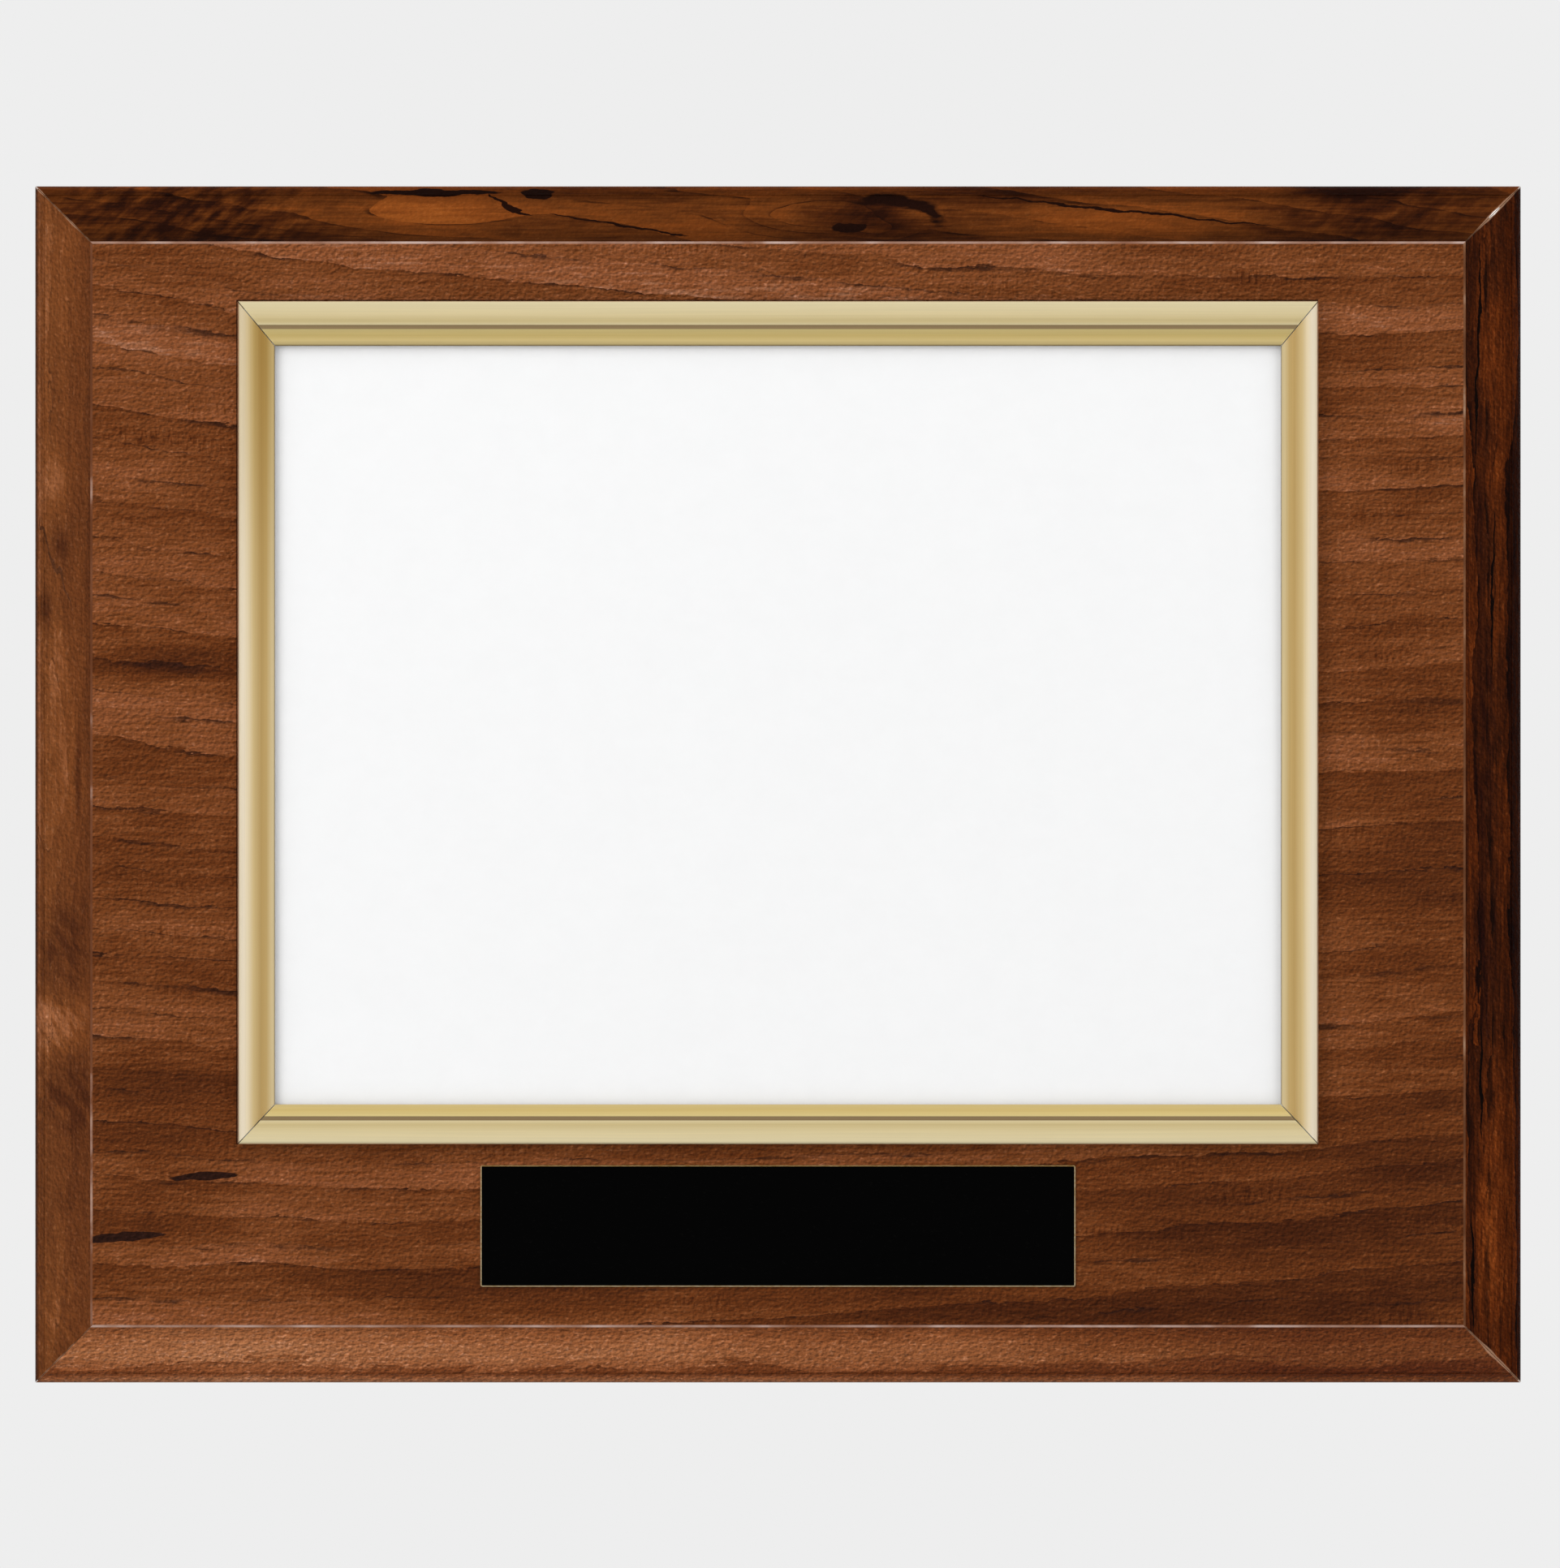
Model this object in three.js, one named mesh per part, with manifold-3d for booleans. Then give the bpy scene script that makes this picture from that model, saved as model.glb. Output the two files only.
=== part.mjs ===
// Certificate plaque: a laminated fibreboard plaque with a mitred bevelled edge, a gold slide-in frame
// that holds a letter-size certificate behind a clear cover, and a black plate under the frame.
// Millimetres, +Z up. The front faces -Y, the back lies in the plane Y = 0, and the origin is the
// centre of the back. A "height" is a distance from a face towards the front, along -Y.
import * as THREE from "three";
import { mergeVertices } from "three/addons/utils/BufferGeometryUtils.js";
import Module from "manifold-3d";

// Certificate, clear cover and backing card
const SHEET_WIDTH = 279.4; // a letter-size sheet laid on its side
const SHEET_HEIGHT = 215.9;
const SHEET_THICKNESS = 0.3;
const COVER_THICKNESS = 1.0;
const SHEET_CLEARANCE = 0.35; // from a sheet's side edge to the rail
const SLOT_GAP = 0.3; // in front of, between and behind the two sheets
const SEAT_GAP = 0.1; // under a sheet's lower edge
const CARD_GAP = 0.5; // between the backing card and the rails' feet

// Frame rails: widths seen from the front, and the section
const SIDE_RAIL = 9.75;
const TOP_RAIL = 11.7;
const BOTTOM_RAIL = 10.4;
const RAIL_WALL = 0.9;
const LIP_THICKNESS = 1.35; // at the sight edge
const LIP_ROUND = 0.4;
const FOOT_THICKNESS = 1.2;
const FOOT_EDGE = 1.6; // metal beside a screw's countersink, on the foot hidden behind the certificate
const SIDE_BEAD = 1.6; // rounded outer edge of a side rail
const STEP_BEAD = 0.8; // rounded outer edge of a stepped rail
const TIER_WIDTH = 6.3; // outer tier of a stepped rail
const TIER_FALL = 0.4;
const GROOVE_WIDTH = 1.0; // quirk between the two tiers
const GROOVE_DEPTH = 0.7;
const INNER_TIER_RISE = 0.3; // from the quirk's floor to the inner tier
const TOP_RECESS = 3.0; // from the top of the frame down to the sheets' upper edges
const MITRE_GAP = 0.3;

// Corner keys and rail screws
const KEY_WIDTH = 2.8;
const KEY_THICKNESS = 1.0;
const KEY_LEG = 22;
const KEY_INSET = 2.9; // from a side rail's outer edge to the middle of its key channel
const KEY_FLOOR = 0.6; // metal between the sheet slot and the key channel
const KEY_COVER = 1.2; // metal from the key channel to the top of the rail
const KEY_CLEARANCE = 0.2;
const SCREWS_PER_RAIL = 3;
const SCREW_RADIUS = 1.1;
const SCREW_HEAD_RADIUS = 2.2;
const SCREW_LENGTH = 10;
const SCREW_POINT = 2;
const SCREW_SINK = 0.1; // head below the foot's top
const SCREW_CLEARANCE = 0.2;
const SCREW_END = 42; // from the end of a rail to its first screw

// Name plate
const PLATE_WIDTH = 155.2;
const PLATE_HEIGHT = 31.7;
const PLATE_THICKNESS = 0.8;
const PLATE_CHAMFER = 0.3;
const ADHESIVE_THICKNESS = 0.25;
const ADHESIVE_INSET = 1.5;

// Board: margins on its face, and its layers
const SIDE_MARGIN = 38.45; // from the face's edge to the frame
const TOP_MARGIN = 15.6;
const PLATE_GAP = 5.5; // from the frame down to the plate
const BOTTOM_MARGIN = 10.6;
const BEVEL_WIDTH = 14.5;
const BEVEL_FALL = 5.4; // from the core's front down to the nose
const BEVEL_BULGE = 0.3; // how far its middle swells out
const COVE_WIDTH = 3; // hollow beside the face
const COVE_FALL = 2.1;
const NOSE_WIDTH = 2.4;
const NOSE_FALL = 3;
const BOARD_THICKNESS = 16;
const FACE_LAMINATE = 0.7;
const FACE_CHAMFER = 0.5;
const BACK_LAMINATE = 0.6;
const BACK_REVEAL = 0.5; // the back sheet stops short of the edge strips' outside
const STRIP_THICKNESS = 0.6;
const STRIP_MITRE_GAP = 0.2;
const GLUE_LINE = 0.1;

// Keyhole slots in the back, one for each way up
const KEYHOLE_EDGE = 28; // from the board's edge to the end of the slot
const KEYHOLE_HEAD = 10; // screw head entry
const KEYHOLE_NECK = 5;
const KEYHOLE_TRAVEL = 14;
const KEYHOLE_LIP = 4; // wood that the screw head catches behind
const KEYHOLE_DEPTH = 9;

// Facets
const CURVE_STEPS = 6;
const HOLE_STEPS = 14;
const WELD = 1e-4;
const PAST = 1; // how far a cutting tool runs past the surface it opens

// Sizes that follow from the driving ones
const FRAME_WIDTH = SHEET_WIDTH + 2 * (SHEET_CLEARANCE + RAIL_WALL);
const FRAME_HEIGHT = RAIL_WALL + SEAT_GAP + SHEET_HEIGHT + TOP_RECESS;
const FACE_WIDTH = FRAME_WIDTH + 2 * SIDE_MARGIN;
const FACE_HEIGHT = TOP_MARGIN + FRAME_HEIGHT + PLATE_GAP + PLATE_HEIGHT + BOTTOM_MARGIN;
const BOARD_WIDTH = FACE_WIDTH + 2 * BEVEL_WIDTH;
const BOARD_HEIGHT = FACE_HEIGHT + 2 * BEVEL_WIDTH;
const FRAME_CENTRE = FACE_HEIGHT / 2 - TOP_MARGIN - FRAME_HEIGHT / 2;
const FRAME_BOTTOM = FRAME_CENTRE - FRAME_HEIGHT / 2;
const PLATE_CENTRE = FRAME_BOTTOM - PLATE_GAP - PLATE_HEIGHT / 2;
const SHEET_CENTRE = FRAME_BOTTOM + RAIL_WALL + SEAT_GAP + SHEET_HEIGHT / 2;
const CORE_FRONT = BOARD_THICKNESS - FACE_LAMINATE;
const LIP_UNDERSIDE = FOOT_THICKNESS + 3 * SLOT_GAP + SHEET_THICKNESS + COVER_THICKNESS;
const LIP_TOP = LIP_UNDERSIDE + LIP_THICKNESS;
const KEY_CHANNEL_FLOOR = LIP_UNDERSIDE + KEY_FLOOR;
const KEY_CHANNEL_ROOF = KEY_CHANNEL_FLOOR + KEY_THICKNESS + KEY_CLEARANCE;
const RAIL_HEIGHT = KEY_CHANNEL_ROOF + KEY_COVER;
const SCREW_SETBACK = FOOT_EDGE + SCREW_CLEARANCE + SCREW_HEAD_RADIUS; // a driver reaches it past the lip
const FOOT_REACH = 2 * SCREW_SETBACK; // past the sight edge
const SCREW_HEAD = FOOT_THICKNESS - SCREW_SINK; // height of the head above the board's face

const wasm = await Module();
wasm.setup();

/** A closed geometry as a solid that can be joined and cut. */
function solidOf(geometry) {
  const bare = geometry.clone();
  bare.deleteAttribute("normal");
  bare.deleteAttribute("uv");
  const welded = mergeVertices(bare, WELD);
  return new wasm.Manifold(
    new wasm.Mesh({
      numProp: 3,
      vertProperties: welded.attributes.position.array,
      triVerts: new Uint32Array(welded.index.array),
    }),
  );
}

/** The geometry with every tool's solid taken out of it. */
function cut(geometry, tools) {
  const left = tools.reduce((solid, tool) => solid.subtract(solidOf(tool)), solidOf(geometry));
  const mesh = left.getMesh();
  const made = new THREE.BufferGeometry();
  made.setAttribute("position", new THREE.BufferAttribute(mesh.vertProperties, mesh.numProp));
  made.setIndex(new THREE.BufferAttribute(mesh.triVerts, 1));
  made.computeVertexNormals();
  return made;
}

/** A flat outline in X and Z, thickened from one height to another. */
function plate(outline, fromHeight, toHeight) {
  const settings = { depth: toHeight - fromHeight, bevelEnabled: false, curveSegments: HOLE_STEPS / 2 };
  return new THREE.ExtrudeGeometry(outline, settings).rotateX(Math.PI / 2).translate(0, -fromHeight, 0);
}

/** A rectangle in X and Z, centred on the origin. */
function rectangle(width, height) {
  const outline = new THREE.Shape();
  outline.moveTo(-width / 2, -height / 2);
  outline.lineTo(width / 2, -height / 2);
  outline.lineTo(width / 2, height / 2);
  outline.lineTo(-width / 2, height / 2);
  return outline;
}

/**
 * A rectangular board whose edge follows a profile of (inset, height) points from back to front:
 * a turning with four sides, pulled out from a square to the rectangle.
 */
function profiledBoard(width, height, profile) {
  const half = Math.min(width, height) / 2;
  const ring = ([inset, level]) => new THREE.Vector2(Math.SQRT2 * (half - inset), -level);
  const centre = ([, level]) => new THREE.Vector2(0, -level);
  const points = [centre(profile[0]), ...profile.map(ring), centre(profile.at(-1))].reverse();
  const board = new THREE.LatheGeometry(points, 4, Math.PI / 4);
  const at = board.attributes.position;
  for (let i = 0; i < at.count; i++) {
    const x = at.getX(i);
    const z = at.getZ(i);
    const offAxis = Math.hypot(x, z) > WELD;
    at.setX(i, offAxis ? x + Math.sign(x) * (width / 2 - half) : 0);
    at.setZ(i, offAxis ? z + Math.sign(z) * (height / 2 - half) : 0);
  }
  return board;
}

/**
 * A section of (inset, height) points carried along one side of a rectangle. Each end is cut on its
 * mitre, which runs in along the side by a slope times the inset. The outer edge lies on the X axis.
 */
function mitredBar(section, length, slopeAtPlusX, slopeAtMinusX, gap) {
  const settings = { depth: 1, bevelEnabled: false, curveSegments: CURVE_STEPS };
  const bar = new THREE.ExtrudeGeometry(section, settings);
  const at = bar.attributes.position;
  for (let i = 0; i < at.count; i++) {
    const inset = at.getX(i);
    const level = at.getY(i);
    const plusX = at.getZ(i) < 0.5;
    const reach = (length - gap) / 2 - inset * (plusX ? slopeAtPlusX : slopeAtMinusX);
    at.setXYZ(i, plusX ? reach : -reach, -level, -inset);
  }
  bar.computeVertexNormals();
  return bar;
}

const plaque = new THREE.Group();

/** Adds one named piece to a group. */
function add(group, name, geometry, material) {
  const mesh = new THREE.Mesh(geometry, material);
  mesh.name = name;
  group.add(mesh);
  return mesh;
}

/** A group for one side of a centred rectangle: its X runs along the side and its +Z points outward. */
function sideGroup(angle, distance, level, centre) {
  const group = new THREE.Group();
  group.position.set(distance * Math.sin(angle), -level, centre + distance * Math.cos(angle));
  group.rotation.y = angle;
  plaque.add(group);
  group.updateMatrixWorld(true);
  return group;
}

const walnutFoil = () => new THREE.MeshStandardMaterial({ color: "#6b3a1d", roughness: 0.45 });
const gold = () => new THREE.MeshStandardMaterial({ color: "#d6c48c", roughness: 0.35, metalness: 1 });
const zincedSteel = () => new THREE.MeshStandardMaterial({ color: "#b9bcc0", roughness: 0.4, metalness: 1 });

/** The bevel's outside from the face's edge to the foot of the board's edge, as (inset, height) points. */
function bevelCurve() {
  const nose = CORE_FRONT - BEVEL_FALL;
  const cove = BEVEL_WIDTH - COVE_WIDTH;
  const coveFoot = CORE_FRONT - COVE_FALL;
  const run = cove - NOSE_WIDTH;
  const fall = coveFoot - nose;
  const curve = new THREE.Path();
  curve.moveTo(BEVEL_WIDTH, CORE_FRONT);
  curve.bezierCurveTo(
    BEVEL_WIDTH - COVE_WIDTH / 4, CORE_FRONT - COVE_FALL / 2,
    cove + COVE_WIDTH / 2, coveFoot + COVE_FALL / 4,
    cove, coveFoot,
  );
  curve.bezierCurveTo(
    cove - run / 3, coveFoot - fall / 3 + BEVEL_BULGE,
    NOSE_WIDTH + run / 3, nose + fall / 3 + BEVEL_BULGE,
    NOSE_WIDTH, nose,
  );
  curve.bezierCurveTo(
    NOSE_WIDTH / 2, nose - NOSE_FALL / 3,
    0, nose - NOSE_FALL / 2,
    0, nose - NOSE_FALL,
  );
  curve.lineTo(0, BACK_LAMINATE);
  return curve.getPoints(CURVE_STEPS);
}

/** A curve moved into the board by a distance, and trimmed at the core's front and back. */
function movedIn(points, distance) {
  const moved = points.map((point, i) => {
    const along = points[Math.min(i + 1, points.length - 1)].clone().sub(points[Math.max(i - 1, 0)]);
    along.normalize();
    return new THREE.Vector2(point.x - along.y * distance, point.y + along.x * distance);
  });
  const [first, second] = moved;
  const share = (CORE_FRONT - second.y) / (first.y - second.y);
  first.set(second.x + (first.x - second.x) * share, CORE_FRONT);
  moved.at(-1).y = BACK_LAMINATE;
  return moved;
}

// Sides of the frame and of the board, with the angle that turns a top side to each
const SIDES = [
  { side: "top", angle: 0, upright: false, rail: TOP_RAIL },
  { side: "right", angle: Math.PI / 2, upright: true, rail: SIDE_RAIL },
  { side: "bottom", angle: Math.PI, upright: false, rail: BOTTOM_RAIL },
  { side: "left", angle: -Math.PI / 2, upright: true, rail: SIDE_RAIL },
];

// Edge strips: wood-grain foil on the bevel and the board's edge, mitred at the corners
const bevel = bevelCurve();
const strip = new THREE.Shape([...bevel, ...movedIn(bevel, STRIP_THICKNESS).reverse()]);
for (const { side, angle, upright } of SIDES) {
  const group = sideGroup(angle, (upright ? BOARD_WIDTH : BOARD_HEIGHT) / 2, 0, 0);
  const length = upright ? BOARD_HEIGHT : BOARD_WIDTH;
  add(group, `edge_strip_${side}`, mitredBar(strip, length, 1, 1, STRIP_MITRE_GAP), walnutFoil());
}

/** Leaves a rail's slot open to the middle of the frame, over a foot that lies on the board. */
function addChannel(section, sightEdge) {
  section.lineTo(sightEdge, LIP_UNDERSIDE);
  section.lineTo(RAIL_WALL, LIP_UNDERSIDE);
  section.lineTo(RAIL_WALL, FOOT_THICKNESS);
  section.lineTo(sightEdge + FOOT_REACH, FOOT_THICKNESS);
  section.lineTo(sightEdge + FOOT_REACH, 0);
  section.lineTo(0, 0);
}

/** The closed channel in a rail's crown that takes the corner keys. */
function keyChannel(rail) {
  const middle = (KEY_INSET * rail) / SIDE_RAIL; // so that the channels of two rails meet on their mitre
  const half = KEY_WIDTH / 2 + KEY_CLEARANCE;
  return new THREE.Path([
    new THREE.Vector2(middle - half, KEY_CHANNEL_FLOOR),
    new THREE.Vector2(middle + half, KEY_CHANNEL_FLOOR),
    new THREE.Vector2(middle + half, KEY_CHANNEL_ROOF),
    new THREE.Vector2(middle - half, KEY_CHANNEL_ROOF),
  ]);
}

/** A side rail: a rounded outer edge that sweeps down in a hollow to the sight edge. */
function smoothSection() {
  const section = new THREE.Shape();
  const sweep = SIDE_RAIL - LIP_ROUND - SIDE_BEAD;
  section.moveTo(0, RAIL_HEIGHT - SIDE_BEAD);
  section.quadraticCurveTo(0, RAIL_HEIGHT, SIDE_BEAD, RAIL_HEIGHT);
  section.bezierCurveTo(
    SIDE_BEAD + sweep / 2, RAIL_HEIGHT,
    SIDE_BEAD + sweep / 2, LIP_TOP,
    SIDE_RAIL - LIP_ROUND, LIP_TOP,
  );
  section.quadraticCurveTo(SIDE_RAIL, LIP_TOP, SIDE_RAIL, LIP_TOP - LIP_ROUND);
  addChannel(section, SIDE_RAIL);
  section.holes.push(keyChannel(SIDE_RAIL));
  return section;
}

/** A top or bottom rail: two tiers with a fine quirk between them. */
function steppedSection(rail, hasFoot) {
  const tierEdge = RAIL_HEIGHT - TIER_FALL;
  const quirk = tierEdge - GROOVE_DEPTH;
  const innerTier = TIER_WIDTH + GROOVE_WIDTH;
  const section = new THREE.Shape();
  section.moveTo(0, RAIL_HEIGHT - STEP_BEAD);
  section.quadraticCurveTo(0, RAIL_HEIGHT, STEP_BEAD, RAIL_HEIGHT);
  section.quadraticCurveTo((STEP_BEAD + TIER_WIDTH) / 2, RAIL_HEIGHT, TIER_WIDTH, tierEdge);
  section.lineTo(TIER_WIDTH, quirk);
  section.lineTo(innerTier, quirk);
  section.lineTo(innerTier, quirk + INNER_TIER_RISE);
  section.quadraticCurveTo((innerTier + rail - LIP_ROUND) / 2, LIP_TOP, rail - LIP_ROUND, LIP_TOP);
  section.quadraticCurveTo(rail, LIP_TOP, rail, LIP_TOP - LIP_ROUND);
  if (hasFoot) {
    addChannel(section, rail);
  } else {
    section.lineTo(rail, LIP_UNDERSIDE);
    section.lineTo(0, LIP_UNDERSIDE);
  }
  section.holes.push(keyChannel(rail));
  return section;
}

/** A turning on the Y axis from (radius, height) points, front to back. */
function turned(points) {
  const profile = points.map(([radius, height]) => new THREE.Vector2(radius, -height));
  return new THREE.LatheGeometry(profile, HOLE_STEPS);
}

/** A countersunk wood screw, its heights measured from the board's face. */
function screw() {
  const tip = SCREW_HEAD - SCREW_LENGTH;
  return turned([
    [0, SCREW_HEAD],
    [SCREW_HEAD_RADIUS, SCREW_HEAD],
    [SCREW_RADIUS, SCREW_HEAD - (SCREW_HEAD_RADIUS - SCREW_RADIUS)],
    [SCREW_RADIUS, tip + SCREW_POINT],
    [0, tip],
  ]);
}

/** The countersunk hole that a screw takes through a rail's foot and into the board. */
function screwHole() {
  const wide = SCREW_HEAD_RADIUS + SCREW_CLEARANCE;
  const narrow = SCREW_RADIUS + SCREW_CLEARANCE;
  const neck = SCREW_HEAD - (SCREW_HEAD_RADIUS - SCREW_RADIUS) - SCREW_CLEARANCE;
  const end = SCREW_HEAD - SCREW_LENGTH - SCREW_CLEARANCE;
  return turned([
    [0, FOOT_THICKNESS + PAST],
    [wide, FOOT_THICKNESS + PAST],
    [wide, SCREW_HEAD],
    [narrow, neck],
    [narrow, end],
    [0, end],
  ]);
}

// Frame rails with the screws through their feet. The top rail is a bar that bridges the slot's mouth.
const boardHoles = [];
for (const { side, angle, upright, rail } of SIDES) {
  const distance = (upright ? FRAME_WIDTH : FRAME_HEIGHT) / 2;
  const length = upright ? FRAME_HEIGHT : FRAME_WIDTH;
  const group = sideGroup(angle, distance, BOARD_THICKNESS, FRAME_CENTRE);
  const hasFoot = side !== "top";
  const section = upright ? smoothSection() : steppedSection(rail, hasFoot);
  const plusX = { right: BOTTOM_RAIL, left: TOP_RAIL }[side] ?? SIDE_RAIL; // rail met at the +X end
  const minusX = { right: TOP_RAIL, left: BOTTOM_RAIL }[side] ?? SIDE_RAIL;
  const bar = mitredBar(section, length, plusX / rail, minusX / rail, MITRE_GAP);
  const spread = length / 2 - SCREW_END;
  const places = hasFoot
    ? Array.from({ length: SCREWS_PER_RAIL }, (_, i) => spread * ((2 * i) / (SCREWS_PER_RAIL - 1) - 1))
    : [];
  const inset = rail + SCREW_SETBACK;
  const holes = places.map((x) => screwHole().translate(x, 0, -inset));
  add(group, `frame_rail_${side}`, cut(bar, holes), gold());
  places.forEach((x, i) => {
    const name = `rail_screw_${side}_${i + 1}`;
    add(group, name, screw(), zincedSteel()).position.set(x, 0, -inset);
  });
  boardHoles.push(...holes.map((hole) => hole.clone().applyMatrix4(group.matrixWorld)));
}

// Corner keys: flat steel angles pushed into the rails' key channels
const keyLevel = BOARD_THICKNESS + KEY_CHANNEL_FLOOR + KEY_CLEARANCE / 2;
for (const [row, up, rail] of [["top", 1, TOP_RAIL], ["bottom", -1, BOTTOM_RAIL]]) {
  for (const [column, right] of [["left", -1], ["right", 1]]) {
    const half = KEY_WIDTH / 2;
    const corners = [[half, half], [-KEY_LEG, half], [-KEY_LEG, -half]];
    const inner = [[-half, -half], [-half, -KEY_LEG], [half, -KEY_LEG]];
    const outline = [...corners, ...inner].map(([x, z]) => new THREE.Vector2(x * right, z * up));
    const key = plate(new THREE.Shape(outline), keyLevel, keyLevel + KEY_THICKNESS);
    const mesh = add(plaque, `corner_key_${row}_${column}`, key, zincedSteel());
    const across = FRAME_WIDTH / 2 - KEY_INSET;
    const aloft = FRAME_HEIGHT / 2 - (KEY_INSET * rail) / SIDE_RAIL;
    mesh.position.set(right * across, 0, FRAME_CENTRE + up * aloft);
  }
}

/** A keyhole's outline at the surface or its wider undercut, opening at the origin and running up +Z. */
function slotOutline(width) {
  const outline = new THREE.Shape();
  outline.absarc(0, KEYHOLE_TRAVEL, width / 2, 0, Math.PI);
  outline.absarc(0, 0, width / 2, Math.PI, 2 * Math.PI);
  return outline;
}

/** The tools that cut one keyhole: the screw head's entry, the neck and the undercut behind the lip. */
function keyholeTools(place) {
  const entry = new THREE.Shape().absarc(0, 0, KEYHOLE_HEAD / 2, 0, 2 * Math.PI);
  const tools = [
    plate(entry, -PAST, KEYHOLE_DEPTH),
    plate(slotOutline(KEYHOLE_NECK), -PAST, KEYHOLE_DEPTH),
    plate(slotOutline(KEYHOLE_HEAD), KEYHOLE_LIP, KEYHOLE_DEPTH),
  ];
  return tools.map((tool) => tool.applyMatrix4(place));
}

const KEYHOLE_START = KEYHOLE_EDGE + KEYHOLE_TRAVEL; // from the board's edge to the entry
const landscape = new THREE.Matrix4().makeTranslation(0, 0, BOARD_HEIGHT / 2 - KEYHOLE_START);
const portrait = new THREE.Matrix4().makeTranslation(KEYHOLE_START - BOARD_WIDTH / 2, 0, 0);
portrait.multiply(new THREE.Matrix4().makeRotationY(-Math.PI / 2));
const keyholes = [...keyholeTools(landscape), ...keyholeTools(portrait)];

// Core board: medium-density fibreboard, its edge routed to the bevel and its back to the keyholes
const coreEdge = movedIn(bevel, STRIP_THICKNESS + GLUE_LINE).reverse();
const core = profiledBoard(BOARD_WIDTH, BOARD_HEIGHT, coreEdge.map(({ x, y }) => [x, y]));
const fibreboard = new THREE.MeshStandardMaterial({ color: "#8a6742", roughness: 0.9 });
add(plaque, "core_board", cut(core, [...keyholes, ...boardHoles]), fibreboard);

// Face laminate, trimmed at the bevel with a fine chamfer
const face = profiledBoard(FACE_WIDTH, FACE_HEIGHT, [
  [0, CORE_FRONT],
  [0, BOARD_THICKNESS - FACE_CHAMFER],
  [FACE_CHAMFER, BOARD_THICKNESS],
]);
add(plaque, "face_laminate", cut(face, boardHoles), walnutFoil());

// Back laminate: a thin balancing sheet, open over the keyholes
const backOutline = rectangle(BOARD_WIDTH - 2 * BACK_REVEAL, BOARD_HEIGHT - 2 * BACK_REVEAL);
const back = plate(backOutline, 0, BACK_LAMINATE);
const blackPaper = new THREE.MeshStandardMaterial({ color: "#2b2320", roughness: 0.8 });
add(plaque, "back_laminate", cut(back, keyholes), blackPaper);

// Backing card, glued to the face between the rails' feet so that the certificate lies flat
const cardWidth = FRAME_WIDTH - 2 * (SIDE_RAIL + FOOT_REACH + CARD_GAP);
const cardFloor = FRAME_BOTTOM + BOTTOM_RAIL + FOOT_REACH + CARD_GAP;
const cardTop = SHEET_CENTRE + SHEET_HEIGHT / 2 - TOP_RAIL;
const cardOutline = rectangle(cardWidth, cardTop - cardFloor);
const card = plate(cardOutline, BOARD_THICKNESS, BOARD_THICKNESS + FOOT_THICKNESS);
const greyCard = new THREE.MeshStandardMaterial({ color: "#8f8b84", roughness: 0.95 });
add(plaque, "backing_card", card, greyCard).position.z = (cardTop + cardFloor) / 2;

// Certificate and clear cover, free to slide up and out under the top rail
const sheetOutline = rectangle(SHEET_WIDTH, SHEET_HEIGHT);
const sheetBack = BOARD_THICKNESS + FOOT_THICKNESS + SLOT_GAP;
const sheet = plate(sheetOutline, sheetBack, sheetBack + SHEET_THICKNESS);
const paper = new THREE.MeshStandardMaterial({ color: "#fbfbf9", roughness: 0.9 });
add(plaque, "certificate", sheet, paper).position.z = SHEET_CENTRE;
const coverBack = sheetBack + SHEET_THICKNESS + SLOT_GAP;
const cover = plate(sheetOutline, coverBack, coverBack + COVER_THICKNESS);
const acrylic = new THREE.MeshStandardMaterial({ color: "#ffffff", roughness: 0.05 });
acrylic.transparent = true;
acrylic.opacity = 0.12;
add(plaque, "clear_cover", cover, acrylic).position.z = SHEET_CENTRE;

// Name plate: black-coated brass with a bright chamfered edge, on a sheet of adhesive
const plateBack = BOARD_THICKNESS + ADHESIVE_THICKNESS;
const plateFront = plateBack + PLATE_THICKNESS;
const filmOutline = rectangle(PLATE_WIDTH - 2 * ADHESIVE_INSET, PLATE_HEIGHT - 2 * ADHESIVE_INSET);
const film = plate(filmOutline, BOARD_THICKNESS, plateBack);
const adhesiveFilm = new THREE.MeshStandardMaterial({ color: "#d9d2c0", roughness: 0.7 });
add(plaque, "name_plate_adhesive", film, adhesiveFilm).position.z = PLATE_CENTRE;
const namePlate = profiledBoard(PLATE_WIDTH, PLATE_HEIGHT, [
  [0, plateBack],
  [0, plateFront - PLATE_CHAMFER],
  [PLATE_CHAMFER, plateFront],
]);
const blackBrass = new THREE.MeshStandardMaterial({ color: "#0a0a0a", roughness: 0.25, metalness: 0.2 });
add(plaque, "name_plate", namePlate, blackBrass).position.z = PLATE_CENTRE;

export default plaque;
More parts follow.
